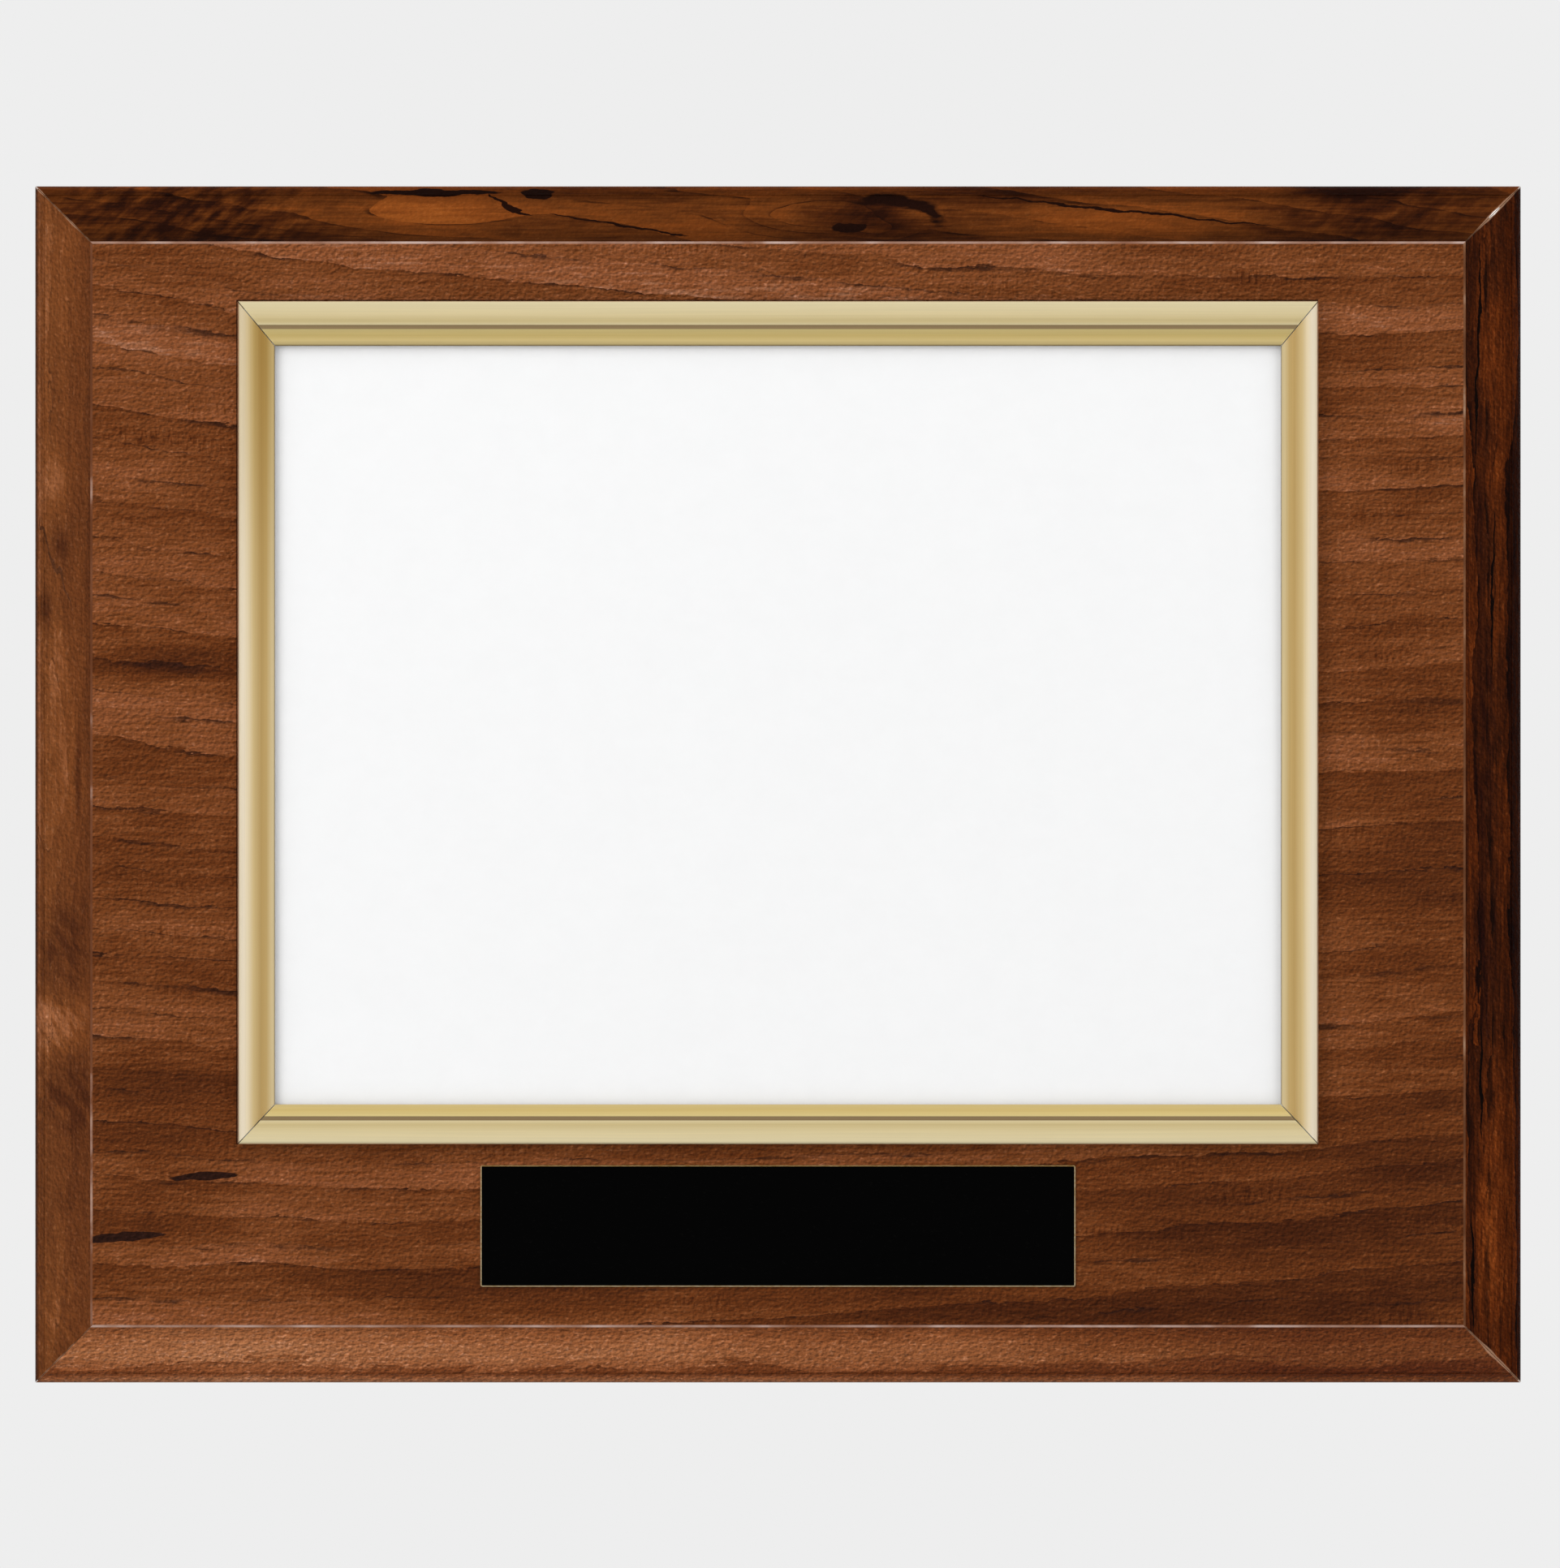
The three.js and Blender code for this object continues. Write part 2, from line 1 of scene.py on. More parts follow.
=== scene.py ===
import bmesh
import bpy
import numpy as np
from mathutils.geometry import tessellate_polygon
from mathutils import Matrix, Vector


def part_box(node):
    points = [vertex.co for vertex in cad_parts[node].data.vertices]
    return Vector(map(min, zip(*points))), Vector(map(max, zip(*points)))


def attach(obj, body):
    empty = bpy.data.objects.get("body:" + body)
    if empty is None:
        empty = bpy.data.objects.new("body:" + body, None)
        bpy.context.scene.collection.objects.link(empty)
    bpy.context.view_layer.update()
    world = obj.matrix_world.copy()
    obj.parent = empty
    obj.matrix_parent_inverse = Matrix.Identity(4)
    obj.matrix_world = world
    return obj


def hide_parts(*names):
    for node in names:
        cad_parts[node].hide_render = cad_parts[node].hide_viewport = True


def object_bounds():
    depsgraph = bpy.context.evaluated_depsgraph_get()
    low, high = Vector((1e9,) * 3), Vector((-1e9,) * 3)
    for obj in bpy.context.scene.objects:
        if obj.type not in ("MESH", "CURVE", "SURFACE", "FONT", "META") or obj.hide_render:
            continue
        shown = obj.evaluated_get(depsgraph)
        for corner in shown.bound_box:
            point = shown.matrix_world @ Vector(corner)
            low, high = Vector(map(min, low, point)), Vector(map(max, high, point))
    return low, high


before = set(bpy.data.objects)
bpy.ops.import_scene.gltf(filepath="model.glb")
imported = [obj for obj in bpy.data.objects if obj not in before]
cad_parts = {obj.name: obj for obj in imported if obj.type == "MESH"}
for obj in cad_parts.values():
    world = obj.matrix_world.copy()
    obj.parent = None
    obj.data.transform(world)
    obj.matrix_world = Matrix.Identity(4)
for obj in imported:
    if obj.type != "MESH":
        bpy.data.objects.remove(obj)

cad_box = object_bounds()

# Core board: medium-density fibreboard, pressed from wood fibre and left raw. Its edge is routed to the
# bevel and its back to two keyholes, which are the only places where it shows.
MM = 0.001  # metres in a millimetre: every size below is in millimetres, and heights run from the back


def linear(hex_colour):
    """An sRGB hex colour as linear RGBA: each channel goes through the inverse of the sRGB curve."""
    channel = np.array([int(hex_colour[i : i + 2], 16) for i in (1, 3, 5)]) / 255
    curved = ((channel + 0.055) / 1.055) ** 2.4
    return (*np.where(channel <= 0.04045, channel / 12.92, curved), 1.0)


def wire(tree, node, inputs):
    """Sets a node's inputs, each to a value, a hex colour or a link from a socket or a node's output."""
    for key, value in inputs.items() if isinstance(inputs, dict) else enumerate(inputs):
        if isinstance(value, bpy.types.Node):
            value = next(socket for socket in value.outputs if socket.enabled)
        if isinstance(value, bpy.types.NodeSocket):
            tree.links.new(value, node.inputs[key])
        else:
            node.inputs[key].default_value = linear(value) if isinstance(value, str) else value


def add_node(tree, kind, inputs=(), stops=(), **settings):
    """Adds a shader node with its settings, inputs and, for a ramp, its stops of (place, hex colour)."""
    node = tree.nodes.new("ShaderNode" + kind)
    for name, value in settings.items():
        setattr(node, name, value)
    wire(tree, node, inputs)
    for i, (place, colour) in enumerate(stops):
        stop = node.color_ramp.elements[i] if i < 2 else node.color_ramp.elements.new(place)
        stop.position = place
        stop.color = linear(colour)
    return node


def grain_place(tree, turn=0.0):
    """Object coordinates in millimetres, turned about Y so that X runs along the grain."""
    place = add_node(tree, "TexCoord").outputs["Object"]
    turning = {"Vector": place, "Rotation": (0, turn, 0), "Scale": (1 / MM, 1 / MM, 1 / MM)}
    return add_node(tree, "Mapping", turning)


def new_material(name, turn=0.0):
    """A new material, its node tree, its Principled shader and its coordinates along the grain."""
    made = bpy.data.materials.new(name)
    made.use_nodes = True
    tree = made.node_tree
    return made, tree, tree.nodes["Principled BSDF"], grain_place(tree, turn)


def streaks(tree, place, length, width, detail=2.0):
    """Cloudy noise drawn out along X: its lumps are about length by width, in millimetres."""
    shrink = (1 / length, 1 / width, 1 / width)
    drawn = add_node(tree, "VectorMath", [place, shrink], operation="MULTIPLY")
    return add_node(tree, "TexNoise", {"Vector": drawn, "Scale": 1.0, "Detail": detail})


def weighted(tree, start, *terms):
    """A sum of terms of (value, weight), added to a start."""
    for value, weight in terms:
        start = add_node(tree, "Math", [value, weight, start], operation="MULTIPLY_ADD")
    return start


def dress(node, material):
    """Gives a CAD node that stays in view its finished material."""
    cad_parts[node].data.materials.clear()
    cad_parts[node].data.materials.append(material)


def raw_fibreboard():
    """Raw fibreboard: matted tan fibre with darker clumps, quite dull."""
    made, tree, shader, place = new_material("raw_fibreboard")
    fibre = streaks(tree, place, length=1.6, width=0.5, detail=4)
    clump = streaks(tree, place, length=9, width=7)
    matted = weighted(tree, -0.1, (fibre, 0.7), (clump, 0.5))
    tan = add_node(tree, "ValToRGB", [matted], [(0.3, "#6d5236"), (0.7, "#a98559")])
    bump = add_node(tree, "Bump", {"Strength": 0.6, "Distance": 0.1 * MM, "Height": fibre})
    wire(tree, shader, {"Base Color": tan, "Roughness": 0.92, "Normal": bump})
    return made


dress("core_board", raw_fibreboard())

# Back laminate: a thin sheet of dark phenolic paper glued over the back to balance the face, cut away at
# the keyholes. Its faint pebbled press mark and long paper fibres show only at a glancing light.


def backing_paper():
    """Phenolic backing paper: brown-black, matt, with paper fibres and a fine pebbled press mark."""
    made, tree, shader, place = new_material("phenolic_backing_paper")
    fibre = streaks(tree, place, length=14, width=0.5, detail=3)
    pebble = streaks(tree, place, length=0.9, width=0.9, detail=1)
    cloud = streaks(tree, place, length=60, width=45)
    mixed = weighted(tree, -0.25, (fibre, 0.7), (cloud, 0.8))
    brown = add_node(tree, "ValToRGB", [mixed], [(0.3, "#2a1f19"), (0.7, "#46362c")])
    rough = add_node(tree, "MapRange", {"Value": pebble, "To Min": 0.55, "To Max": 0.85})
    bump = add_node(tree, "Bump", {"Strength": 0.5, "Distance": 0.06 * MM, "Height": pebble})
    wire(tree, shader, {"Base Color": brown, "Roughness": rough, "Normal": bump})
    return made


dress("back_laminate", backing_paper())

# Face laminate: a walnut-grain sheet pressed on the front with a crepe satin emboss, its grain running
# across the board. A router trimmed its edge at the bevel, which bares a pale line of paper.
TRIM = 0.6  # width of the trimmed edge seen from the front
SCUFFED = ((-179, -101), (8, 34))  # centre and half size of the stretch of it that is scuffed most
RAIL_SHADE_WIDTH = 0.25  # width of the painted shade line in the corner between the face and the rails
RAIL_SHADE_SHIFT = 0.2  # how far the painted shade line is moved towards the upper left, so that it shows by the left and top rails
WAVES = (30, 5)  # length and width of the growth rings' waves, and detail where a third number follows
FRAYS = (4, 1, 3)  # of the rings' ragged edges
BREAKS = (18, 2.5)  # of the breaks in the dark line between two rings
FIBRES = (14, 0.6, 4)
CLUMPS = (7, 2, 3)  # of fibre
CLOUDS = (60, 18)  # of lighter and darker wood
TICKS = (0.9, 4, 1)  # of the chatter across the grain
TICK_FIELDS = (45, 8)  # of the stretches that have chatter
CURLS = (10, 2.4, 5)  # of curly grain
CURL_ANGLE = 0.7  # between it and the rest
CREPE = (1.2, 0.85, 1.5)  # of the emboss's wrinkles
CREPE_STEP = (-0.25, 0, 0.25)  # from a wrinkle's painted lit flank to its painted shaded one
PAINTED_FLANK_GAIN = 0.4  # by which the painted lit flank gains and the painted shaded one loses
CREPE_DEPTH = 0.5  # of a wrinkle at full emboss, deeper than the real one so that it shows
GLINT = (1.3, 0.7, 3)  # of the painted rosy highlights on the emboss's tips
GLINT_RISE = (0.55, 0.85, 1.5)  # by which these painted highlights outshine the rest in red, green and blue
FACE_PATCHES = [  # centre, half size, change of tone and curl of each
    ((150, -125), (140, 60), -0.18, 0.0),
    ((-160, 32), (45, 7), -0.2, 0.0),
    ((0, 150), (260, 60), 0.1, 0.0),
    ((168, -40), (40, 120), -0.14, 0.0),
    ((-165, -75), (42, 75), -0.1, 0.0),
    ((0, -134), (200, 15), -0.22, 0.0),
]
MINERAL_STREAKS = [  # centre, half size, lean and hollow of each
    ((-170, -118), (14, 1.4), 0.05, None),
    ((-150.5, -102.3), (11, 1.3), 0.05, None),
]
MARK_CORE = 0.6  # share of a dark mark's size within which it is quite dark
MARK_DRIFT = (9, 4, 4)  # length, width and detail of the noise that its outline follows
MARK_WANDER = (8, 0, 3)  # how far its outline wanders along and across
MARK_FRAYS = (5, 1, 3)
ARRIS = 25  # degrees between two faces from which their edge is sharp
WELD = 1e-4  # distance within which two points are one


def box_mm(node):
    """A CAD node's lowest and highest corners in millimetres."""
    low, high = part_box(node)
    return np.array(low) / MM, np.array(high) / MM


def close_shell(mesh):
    """Welds a mesh's doubled points and turns its faces outward."""
    shell = bmesh.new()
    shell.from_mesh(mesh)
    bmesh.ops.remove_doubles(shell, verts=shell.verts, dist=WELD * MM)
    bmesh.ops.recalc_face_normals(shell, faces=shell.faces)
    shell.to_mesh(mesh)
    shell.free()


def add_piece(name, points, faces, materials, replaced, body="board", paint=None):
    """
    A piece from millimetre points and faces, closed and turned outward, that rides on a body in place of
    a CAD node. Where it has more than one material, paint gives each face's.
    """
    mesh = bpy.data.meshes.new(name)
    mesh.from_pydata(np.asarray(points, float).reshape(-1, 3) * MM, [], faces)
    for material in materials:
        mesh.materials.append(material)
    if paint:
        mesh.polygons.foreach_set("material_index", paint)
    close_shell(mesh)
    mesh.shade_smooth()
    mesh.set_sharp_from_angle(angle=np.radians(ARRIS))
    piece = bpy.data.objects.new(name, mesh)
    scene.collection.objects.link(piece)
    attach(piece, body)
    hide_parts(replaced)
    return piece


def grid_faces(rows, columns):
    """Quads between neighbouring rows of points, closed round their columns."""
    index = np.arange(rows * columns).reshape(rows, columns)
    index = np.hstack([index, index[:, :1]])
    return np.stack([index[:-1, :-1], index[:-1, 1:], index[1:, 1:], index[1:, :-1]], -1).reshape(-1, 4)


def slab(low, high, profile, radius=0.0, steps=1):
    """
    A flat slab between two corners: a profile of (inset, height) points is carried round a rectangle with
    rounded corners, a corner being its centre plus an arc of its radius. Caps close its first and last
    rows, and are its last two faces.
    """
    turn = np.radians(np.linspace(0, 90, steps) if steps > 1 else [45])
    arc = turn + np.radians([[0], [90], [180], [270]])
    outward = np.stack([np.cos(arc), np.sin(arc)], -1).reshape(-1, 2)
    if steps == 1:
        outward = np.sign(outward)
    half = np.array([high[0] - low[0], high[2] - low[2]]) / 2
    middle = np.array([high[0] + low[0], high[2] + low[2]]) / 2
    quadrant = np.repeat([[1, 1], [-1, 1], [-1, -1], [1, -1]], steps, 0)
    inset, height = np.array(profile, float).T
    flat = middle + quadrant * (half - radius) + outward * (radius - inset[:, None, None])
    level = np.broadcast_to(-height[:, None], flat.shape[:2])
    points = np.stack([flat[..., 0], level, flat[..., 1]], -1)
    rows, columns = points.shape[:2]
    caps = np.arange(rows * columns).reshape(rows, columns)[[0, -1]]
    return points, grid_faces(rows, columns).tolist() + caps.tolist()


def mound(tree, place, centre, half, core=0.0):
    """1 over the core of an ellipse of half a length by half a height, smoothly down to 0 at its rim."""
    stretch = (1 / half[0], 0, 1 / half[1])
    shift = (-centre[0] / half[0], 0, -centre[1] / half[1])
    offset = add_node(tree, "VectorMath", [place, stretch, shift], operation="MULTIPLY_ADD")
    radius = add_node(tree, "VectorMath", [offset], operation="LENGTH")
    return add_node(tree, "MapRange", [radius, 1.0, core], interpolation_type="SMOOTHSTEP")


def trimmed_edge(name, ramp):
    """Router-cut laminate edge: pinkish-white paper stained by the walnut glaze, scuffed in places."""
    made, tree, shader, place = new_material(name)
    uneven = streaks(tree, place, length=11, width=11, detail=4)
    scuff = weighted(tree, uneven, (mound(tree, place, *SCUFFED), 0.18))
    pale = add_node(tree, "ValToRGB", [scuff], ramp)
    wire(tree, shader, {"Base Color": pale, "Roughness": 0.6, "Specular IOR Level": 0.1})
    return made


def ring_level(tree, place, point, ring, sway, slant, bow, knots, ripple, fray):
    """
    The level whose steps are the growth rings: it rises across the grain, slants along it, bows with the
    square of the distance from an apex, swells at knots and sways, ripples and frays with drawn-out noise.
    """
    along, _, across = add_node(tree, "SeparateXYZ", [place]).outputs
    level = weighted(tree, across, (along, slant))
    if bow:
        curve, apex, lean = bow
        crest = weighted(tree, apex, (across, lean))
        off_crest = add_node(tree, "Math", [along, crest], operation="SUBTRACT")
        square = add_node(tree, "Math", [off_crest, off_crest], operation="MULTIPLY")
        level = weighted(tree, level, (square, -curve))
    for centre, half, lift in knots:
        level = weighted(tree, level, (mound(tree, place, centre, half), lift))
    swing, length, width = sway
    slow = streaks(tree, point, length, width)
    waves = streaks(tree, point, *WAVES)
    frays = streaks(tree, point, *FRAYS)
    return weighted(tree, level, (slow, swing), (waves, ripple * ring), (frays, fray * ring))


def darkened(tree, place, point, colour, line, marks):
    """
    Dark marks over a colour: each is an ellipse that leans, less a hollow where it has one, and noise
    makes its outline wander and frays its edge.
    """
    wander = [streaks(tree, point, *MARK_DRIFT).outputs["Color"], MARK_WANDER, place]
    wandered = add_node(tree, "VectorMath", wander, operation="MULTIPLY_ADD")
    drifted = add_node(tree, "VectorMath", [wandered, np.array(MARK_WANDER) / 2], operation="SUBTRACT")
    x, _, z = add_node(tree, "SeparateXYZ", [drifted]).outputs
    for centre, half, lean, hollow in marks:
        leaning = add_node(tree, "CombineXYZ", [x, 0.0, weighted(tree, z, (x, -lean))])
        mark = mound(tree, leaning, (centre[0], centre[1] - lean * centre[0]), half, MARK_CORE)
        if hollow:
            mark = weighted(tree, mark, (mound(tree, drifted, *hollow, MARK_CORE), -1.0))
        ragged = weighted(tree, 0.1, (mark, 1.0), (streaks(tree, point, *MARK_FRAYS), -0.8))
        solid = add_node(tree, "MapRange", [ragged, 0.0, 0.3])
        colour = add_node(tree, "Mix", {0: solid, 6: colour, 7: line}, data_type="RGBA")
    return colour


def embossed(tree, point, colour, emboss):
    """
    The press plate's crepe over a colour, with painted light: the fall of its noise over a small step
    paints each wrinkle a lit and a shaded flank, and its tips get painted rosy highlights. Returns the
    colour and the crepe's height.
    """
    crepe = streaks(tree, point, *CREPE)
    beside = add_node(tree, "VectorMath", [point, CREPE_STEP], operation="ADD")
    flank = weighted(tree, 0.0, (crepe, 1.0), (streaks(tree, beside, *CREPE), -1.0))
    gain = PAINTED_FLANK_GAIN * emboss
    painted_flank_light = add_node(tree, "MapRange", [flank, -0.2, 0.2, 1 - gain, 1 + gain])
    glint = add_node(tree, "MapRange", [streaks(tree, point, *GLINT), 0.56, 0.72])
    rise = [glint, emboss * np.array(GLINT_RISE), (1, 1, 1)]
    painted_highlight = add_node(tree, "VectorMath", rise, operation="MULTIPLY_ADD")
    for light in (painted_flank_light, painted_highlight):
        lit = {0: 1.0, 6: colour, 7: light}
        colour = add_node(tree, "Mix", lit, data_type="RGBA", blend_type="MULTIPLY")
    return colour, crepe


def walnut(
    name, turn, seed, ring, sway, tones, line, gloss, emboss,
    banding=1.0, ripple=0.7, fray=0.35, fibre=0.5, mottle=0.4, vein=0.12, chatter=0.0, slant=0.0, bow=None,
    knots=(), patches=(), marks=(),
):
    """
    Printed walnut under satin lacquer. Each growth ring has a chance tone, as strong as the banding, and
    ends in a broken dark line, whose share of the ring is the vein. Fibre, mottle, chatter across the
    grain and darker, lighter or curly patches change the tone. Dark marks lie over it, and over them the
    emboss, with painted light and shade on its wrinkles' flanks and painted highlights on their tips.
    Returns the material, its tree, its shader and its colour.
    """
    made, tree, shader, place = new_material(name, turn)
    point = add_node(tree, "VectorMath", [place, seed], operation="ADD")
    level = ring_level(tree, place, point, ring, sway, slant, bow, knots, ripple, fray)
    uneven = streaks(tree, add_node(tree, "CombineXYZ", [level]), 2 * ring, 1, 1)
    even = add_node(tree, "Math", [level, ring], operation="DIVIDE")
    count = weighted(tree, even, (uneven, 2.0))
    number = add_node(tree, "Math", [count], operation="FLOOR")
    part = add_node(tree, "Math", [count], operation="FRACT")
    chance = add_node(tree, "TexWhiteNoise", {"W": number}, noise_dimensions="1D")
    fibres = streaks(tree, point, *FIBRES)
    clumps = streaks(tree, point, *CLUMPS)
    clouds = streaks(tree, point, *CLOUDS)
    figure = [(chance.outputs["Value"], 0.2 * banding), (uneven, 0.35 * banding), (part, -0.08 * banding)]
    figure += [(fibres, fibre), (clumps, 0.7 * fibre), (clouds, mottle)]
    tone = weighted(tree, 0.5 - sum(weight for _, weight in figure) / 2, *figure)
    if chatter:
        tick = add_node(tree, "MapRange", [streaks(tree, point, *TICKS), 0.5, 0.66])
        where = add_node(tree, "MapRange", [streaks(tree, point, *TICK_FIELDS), 0.58, 0.7])
        ticks = add_node(tree, "Math", [tick, where], operation="MULTIPLY")
        tone = weighted(tree, tone, (ticks, -chatter))
    curls = streaks(tree, grain_place(tree, turn + CURL_ANGLE), *CURLS)
    for centre, half, shift, curl in patches:
        change = weighted(tree, shift - curl / 2, (curls, curl))
        patch = [mound(tree, place, centre, half), change, tone]
        tone = add_node(tree, "Math", patch, operation="MULTIPLY_ADD")
    wood = add_node(tree, "ValToRGB", [tone], tones)
    late = add_node(tree, "MapRange", [part, 1 - vein, 1 - vein / 6], interpolation_type="SMOOTHSTEP")
    broken = add_node(tree, "MapRange", [streaks(tree, point, *BREAKS), 0.42, 0.62, 0.0, 0.8])
    dark = add_node(tree, "Math", [late, broken], operation="MULTIPLY")
    lined = add_node(tree, "Mix", {0: dark, 6: wood, 7: line}, data_type="RGBA")
    marked = darkened(tree, place, point, lined, line, marks)
    # Painted light: the emboss's lit and shaded flanks and rosy highlights go into the colour
    painted_relief, crepe = embossed(tree, point, marked, emboss)
    rough = add_node(tree, "MapRange", {"Value": crepe, "To Min": 0.32, "To Max": 0.55})
    bump = add_node(tree, "Bump", {"Distance": CREPE_DEPTH * emboss * MM, "Height": crepe})
    finish = {"Base Color": painted_relief, "Roughness": rough, "Normal": bump, "Specular IOR Level": gloss}
    wire(tree, shader, finish)
    return made, tree, shader, painted_relief


def walnut_face():
    """The face's walnut: flat cathedral rings, two mineral streaks and a line of painted shade round the
    rails.
    """
    made, tree, shader, unshaded_wood = walnut(
        "walnut_laminate", turn=0, seed=(0, 0, 0), ring=7, sway=(8, 150, 45), line="#27120a", gloss=0.06,
        emboss=1.0, banding=0.7, fibre=0.28, chatter=0.16, bow=(0.00023, 25, 1.09), patches=FACE_PATCHES,
        marks=MINERAL_STREAKS,
        tones=[(0.2, "#431e09"), (0.4, "#633213"), (0.5, "#76411f"), (0.62, "#8a502e"), (0.9, "#ba8869")],
    )
    # Painted shade: a thin dark line on the face along the rails' outer edges, moved up and left
    place = grain_place(tree)
    middle = (RAIL_SHADE_SHIFT, 0, -frame_centre - RAIL_SHADE_SHIFT)
    centred = add_node(tree, "VectorMath", [place, middle], operation="ADD")
    outward = add_node(tree, "VectorMath", [centred], operation="ABSOLUTE")
    right, _, up = add_node(tree, "SeparateXYZ", [outward]).outputs
    beside = weighted(tree, -frame_width / 2, (right, 1.0))
    above = weighted(tree, -frame_height / 2, (up, 1.0))
    gap = add_node(tree, "Math", [beside, above], operation="MAXIMUM")
    painted_rail_shade = add_node(tree, "MapRange", [gap, RAIL_SHADE_WIDTH, RAIL_SHADE_WIDTH / 2, 0.0, 0.85])
    rail_shaded_wood = add_node(tree, "Mix", {0: painted_rail_shade, 6: unshaded_wood, 7: "#1d0e08"}, data_type="RGBA")
    wire(tree, shader, {"Base Color": rail_shaded_wood})
    return made


scene = bpy.context.scene
rail_boxes = {side: box_mm(f"frame_rail_{side}") for side in ("top", "right", "bottom", "left")}
frame_width = rail_boxes["right"][1][0] - rail_boxes["left"][0][0]
frame_height = rail_boxes["top"][1][2] - rail_boxes["bottom"][0][2]
frame_centre = rail_boxes["top"][1][2] - frame_height / 2
face_low, face_high = box_mm("face_laminate")
face_back, face_front = -face_high[1], -face_low[1]
points, faces = slab(face_low, face_high, [(0, face_back), (0, face_front - TRIM), (TRIM, face_front)])
bright = [(0.3, "#90624b"), (0.5, "#b08875"), (0.7, "#d4b7ab")]
stained = [(0.4, "#6a3c22"), (0.6, "#7c4c32"), (0.76, "#b5907e")]
# Painted shade: the right edge's own copy of the trimmed edge's tones, darker than the top and bottom's
shaded = [(0.4, "#6d4228"), (0.6, "#8e5f40"), (0.72, "#b68f73")]
face_materials = [
    walnut_face(),
    trimmed_edge("trimmed_laminate_edge", bright),
    trimmed_edge("stained_laminate_edge", stained),
    trimmed_edge("shaded_laminate_edge", shaded),
]
face_paint = [1, 2, 1, 3] * 2 + [1, 0]  # top, left, lower and right edge, twice, then back and front
add_piece("walnut_face", points, faces, face_materials, "face_laminate", paint=face_paint)

# Edge strips: the same laminate as a thin foil, formed over the bevel and the board's edge with the grain
# along each side, and mitred. Each was cut from another sheet, so the four differ in tone and figure; their
# tones also hold painted light and shade, the right and top strips darker and the bottom one lighter.
COVE = (3.0, 2.1)  # width and fall of the hollow beside the face
NOSE = (2.4, 3.0)  # width and fall of the rounded outer edge
BEVEL_FALL = 5.4  # from the face to the nose
BEVEL_BULGE = 0.3
FOIL = 0.6  # thickness
FOIL_GAP = 0.2  # between two strips at a mitre
CREASE = 0.15  # depth of the fold line above the nose
WEAR = 0.8  # greatest width of the pale wear at a mitre
CHIP = (187, 149.2)  # where the top right mitre has lost a flake of print
CHIP_SIZE = 4
RUBBED_CORNERS = [((187, -149.2), 16), ((187, 149.2), 9)]  # mitres worn most, and how far along
QUARTER = np.pi / 2
SIDES = {"top": 0, "right": QUARTER, "bottom": 2 * QUARTER, "left": -QUARTER}  # turn of each about Y
UPRIGHT = ("right", "left")


def bezier(*control, steps=14):
    """Points on a Bezier curve: neighbouring control points are blended until one is left."""
    t = np.linspace(0, 1, steps + 1)[:, None, None]
    points = np.array(control, float)[None]
    while points.shape[1] > 1:
        points = points[:, :-1] * (1 - t) + points[:, 1:] * t
    return points[:, 0]


def chain(*stretches):
    """Joins stretches of points end to end without repeating a point."""
    joined = np.vstack([np.atleast_2d(stretch) for stretch in stretches])
    fresh = np.append(True, np.linalg.norm(np.diff(joined, axis=0), axis=1) > WELD)
    return joined[fresh]


def moved_in(points, distance):
    """A curve moved sideways by a distance, square to the line between each point's neighbours."""
    ahead = np.gradient(points, axis=0)
    ahead /= np.linalg.norm(ahead, axis=1, keepdims=True)
    return points + distance * np.stack([-ahead[:, 1], ahead[:, 0]], -1)


def bar(loops, side, width, height, slopes, gap, level, centre):
    """
    Section loops of (inset, height) carried along one side of a rectangle and cut on its mitres: an end
    lies half the side's length out, less its slope times the inset. The first loop is the outside, the
    others are channels, and the ends are filled between them. The side is turned about Y to its place.
    Returns the points, the faces and which faces are ends.
    """
    angle = SIDES[side]
    length, span = (height, width) if side in UPRIGHT else (width, height)
    points, faces, near, first = [], [], [], 0
    for loop in loops:
        inset, rise = np.asarray(loop, float).T
        reach = (length - gap) / 2 - inset * np.array(slopes)[:, None]
        along = reach * np.array([[1], [-1]])
        outward = np.broadcast_to(span / 2 - inset, along.shape)
        x = along * np.cos(angle) + outward * np.sin(angle)
        z = outward * np.cos(angle) - along * np.sin(angle) + centre
        points.append(np.stack([x, np.broadcast_to(-level - rise, x.shape), z], -1).reshape(-1, 3))
        faces += (grid_faces(2, len(loop)) + first).tolist()
        near.append(first + np.arange(len(loop)))
        first += 2 * len(loop)
    far = [ring + len(ring) for ring in near]
    fill = np.array(tessellate_polygon([[(*place, 0.0) for place in loop] for loop in loops]))
    ends = np.concatenate(near)[fill].tolist() + np.concatenate(far)[fill].tolist()
    return np.vstack(points), faces + ends, [0] * len(faces) + [1] * len(ends)


def foil_section(width, front, back):
    """The foil's section: cove, gently swelling bevel, creased nose and edge, and the same moved in."""
    cove, cove_foot = width - COVE[0], front - COVE[1]
    nose, nose_foot = front - BEVEL_FALL, front - BEVEL_FALL - NOSE[1]
    run, fall = cove - NOSE[0], cove_foot - nose
    outside = chain(
        bezier(
            (width, front), (width - COVE[0] / 4, front - COVE[1] / 2),
            (cove + COVE[0] / 2, cove_foot + COVE[1] / 4), (cove, cove_foot),
        ),
        bezier(
            (cove, cove_foot), (cove - run / 3, cove_foot - fall / 3 + BEVEL_BULGE),
            (NOSE[0] + run / 3, nose + fall / 3 + BEVEL_BULGE), (NOSE[0] + CREASE, nose + CREASE / 2),
        ),
        (NOSE[0], nose - CREASE),
        bezier(
            (NOSE[0] - CREASE, nose - CREASE / 3), (NOSE[0] / 2, nose - NOSE[1] / 3),
            (0, nose - NOSE[1] / 2), (0, nose_foot),
        ),
        (0, back),
    )
    inside = moved_in(outside, FOIL)
    inside[0, 1] = front
    inside[-1, 1] = back
    return np.vstack([outside, inside[::-1]])


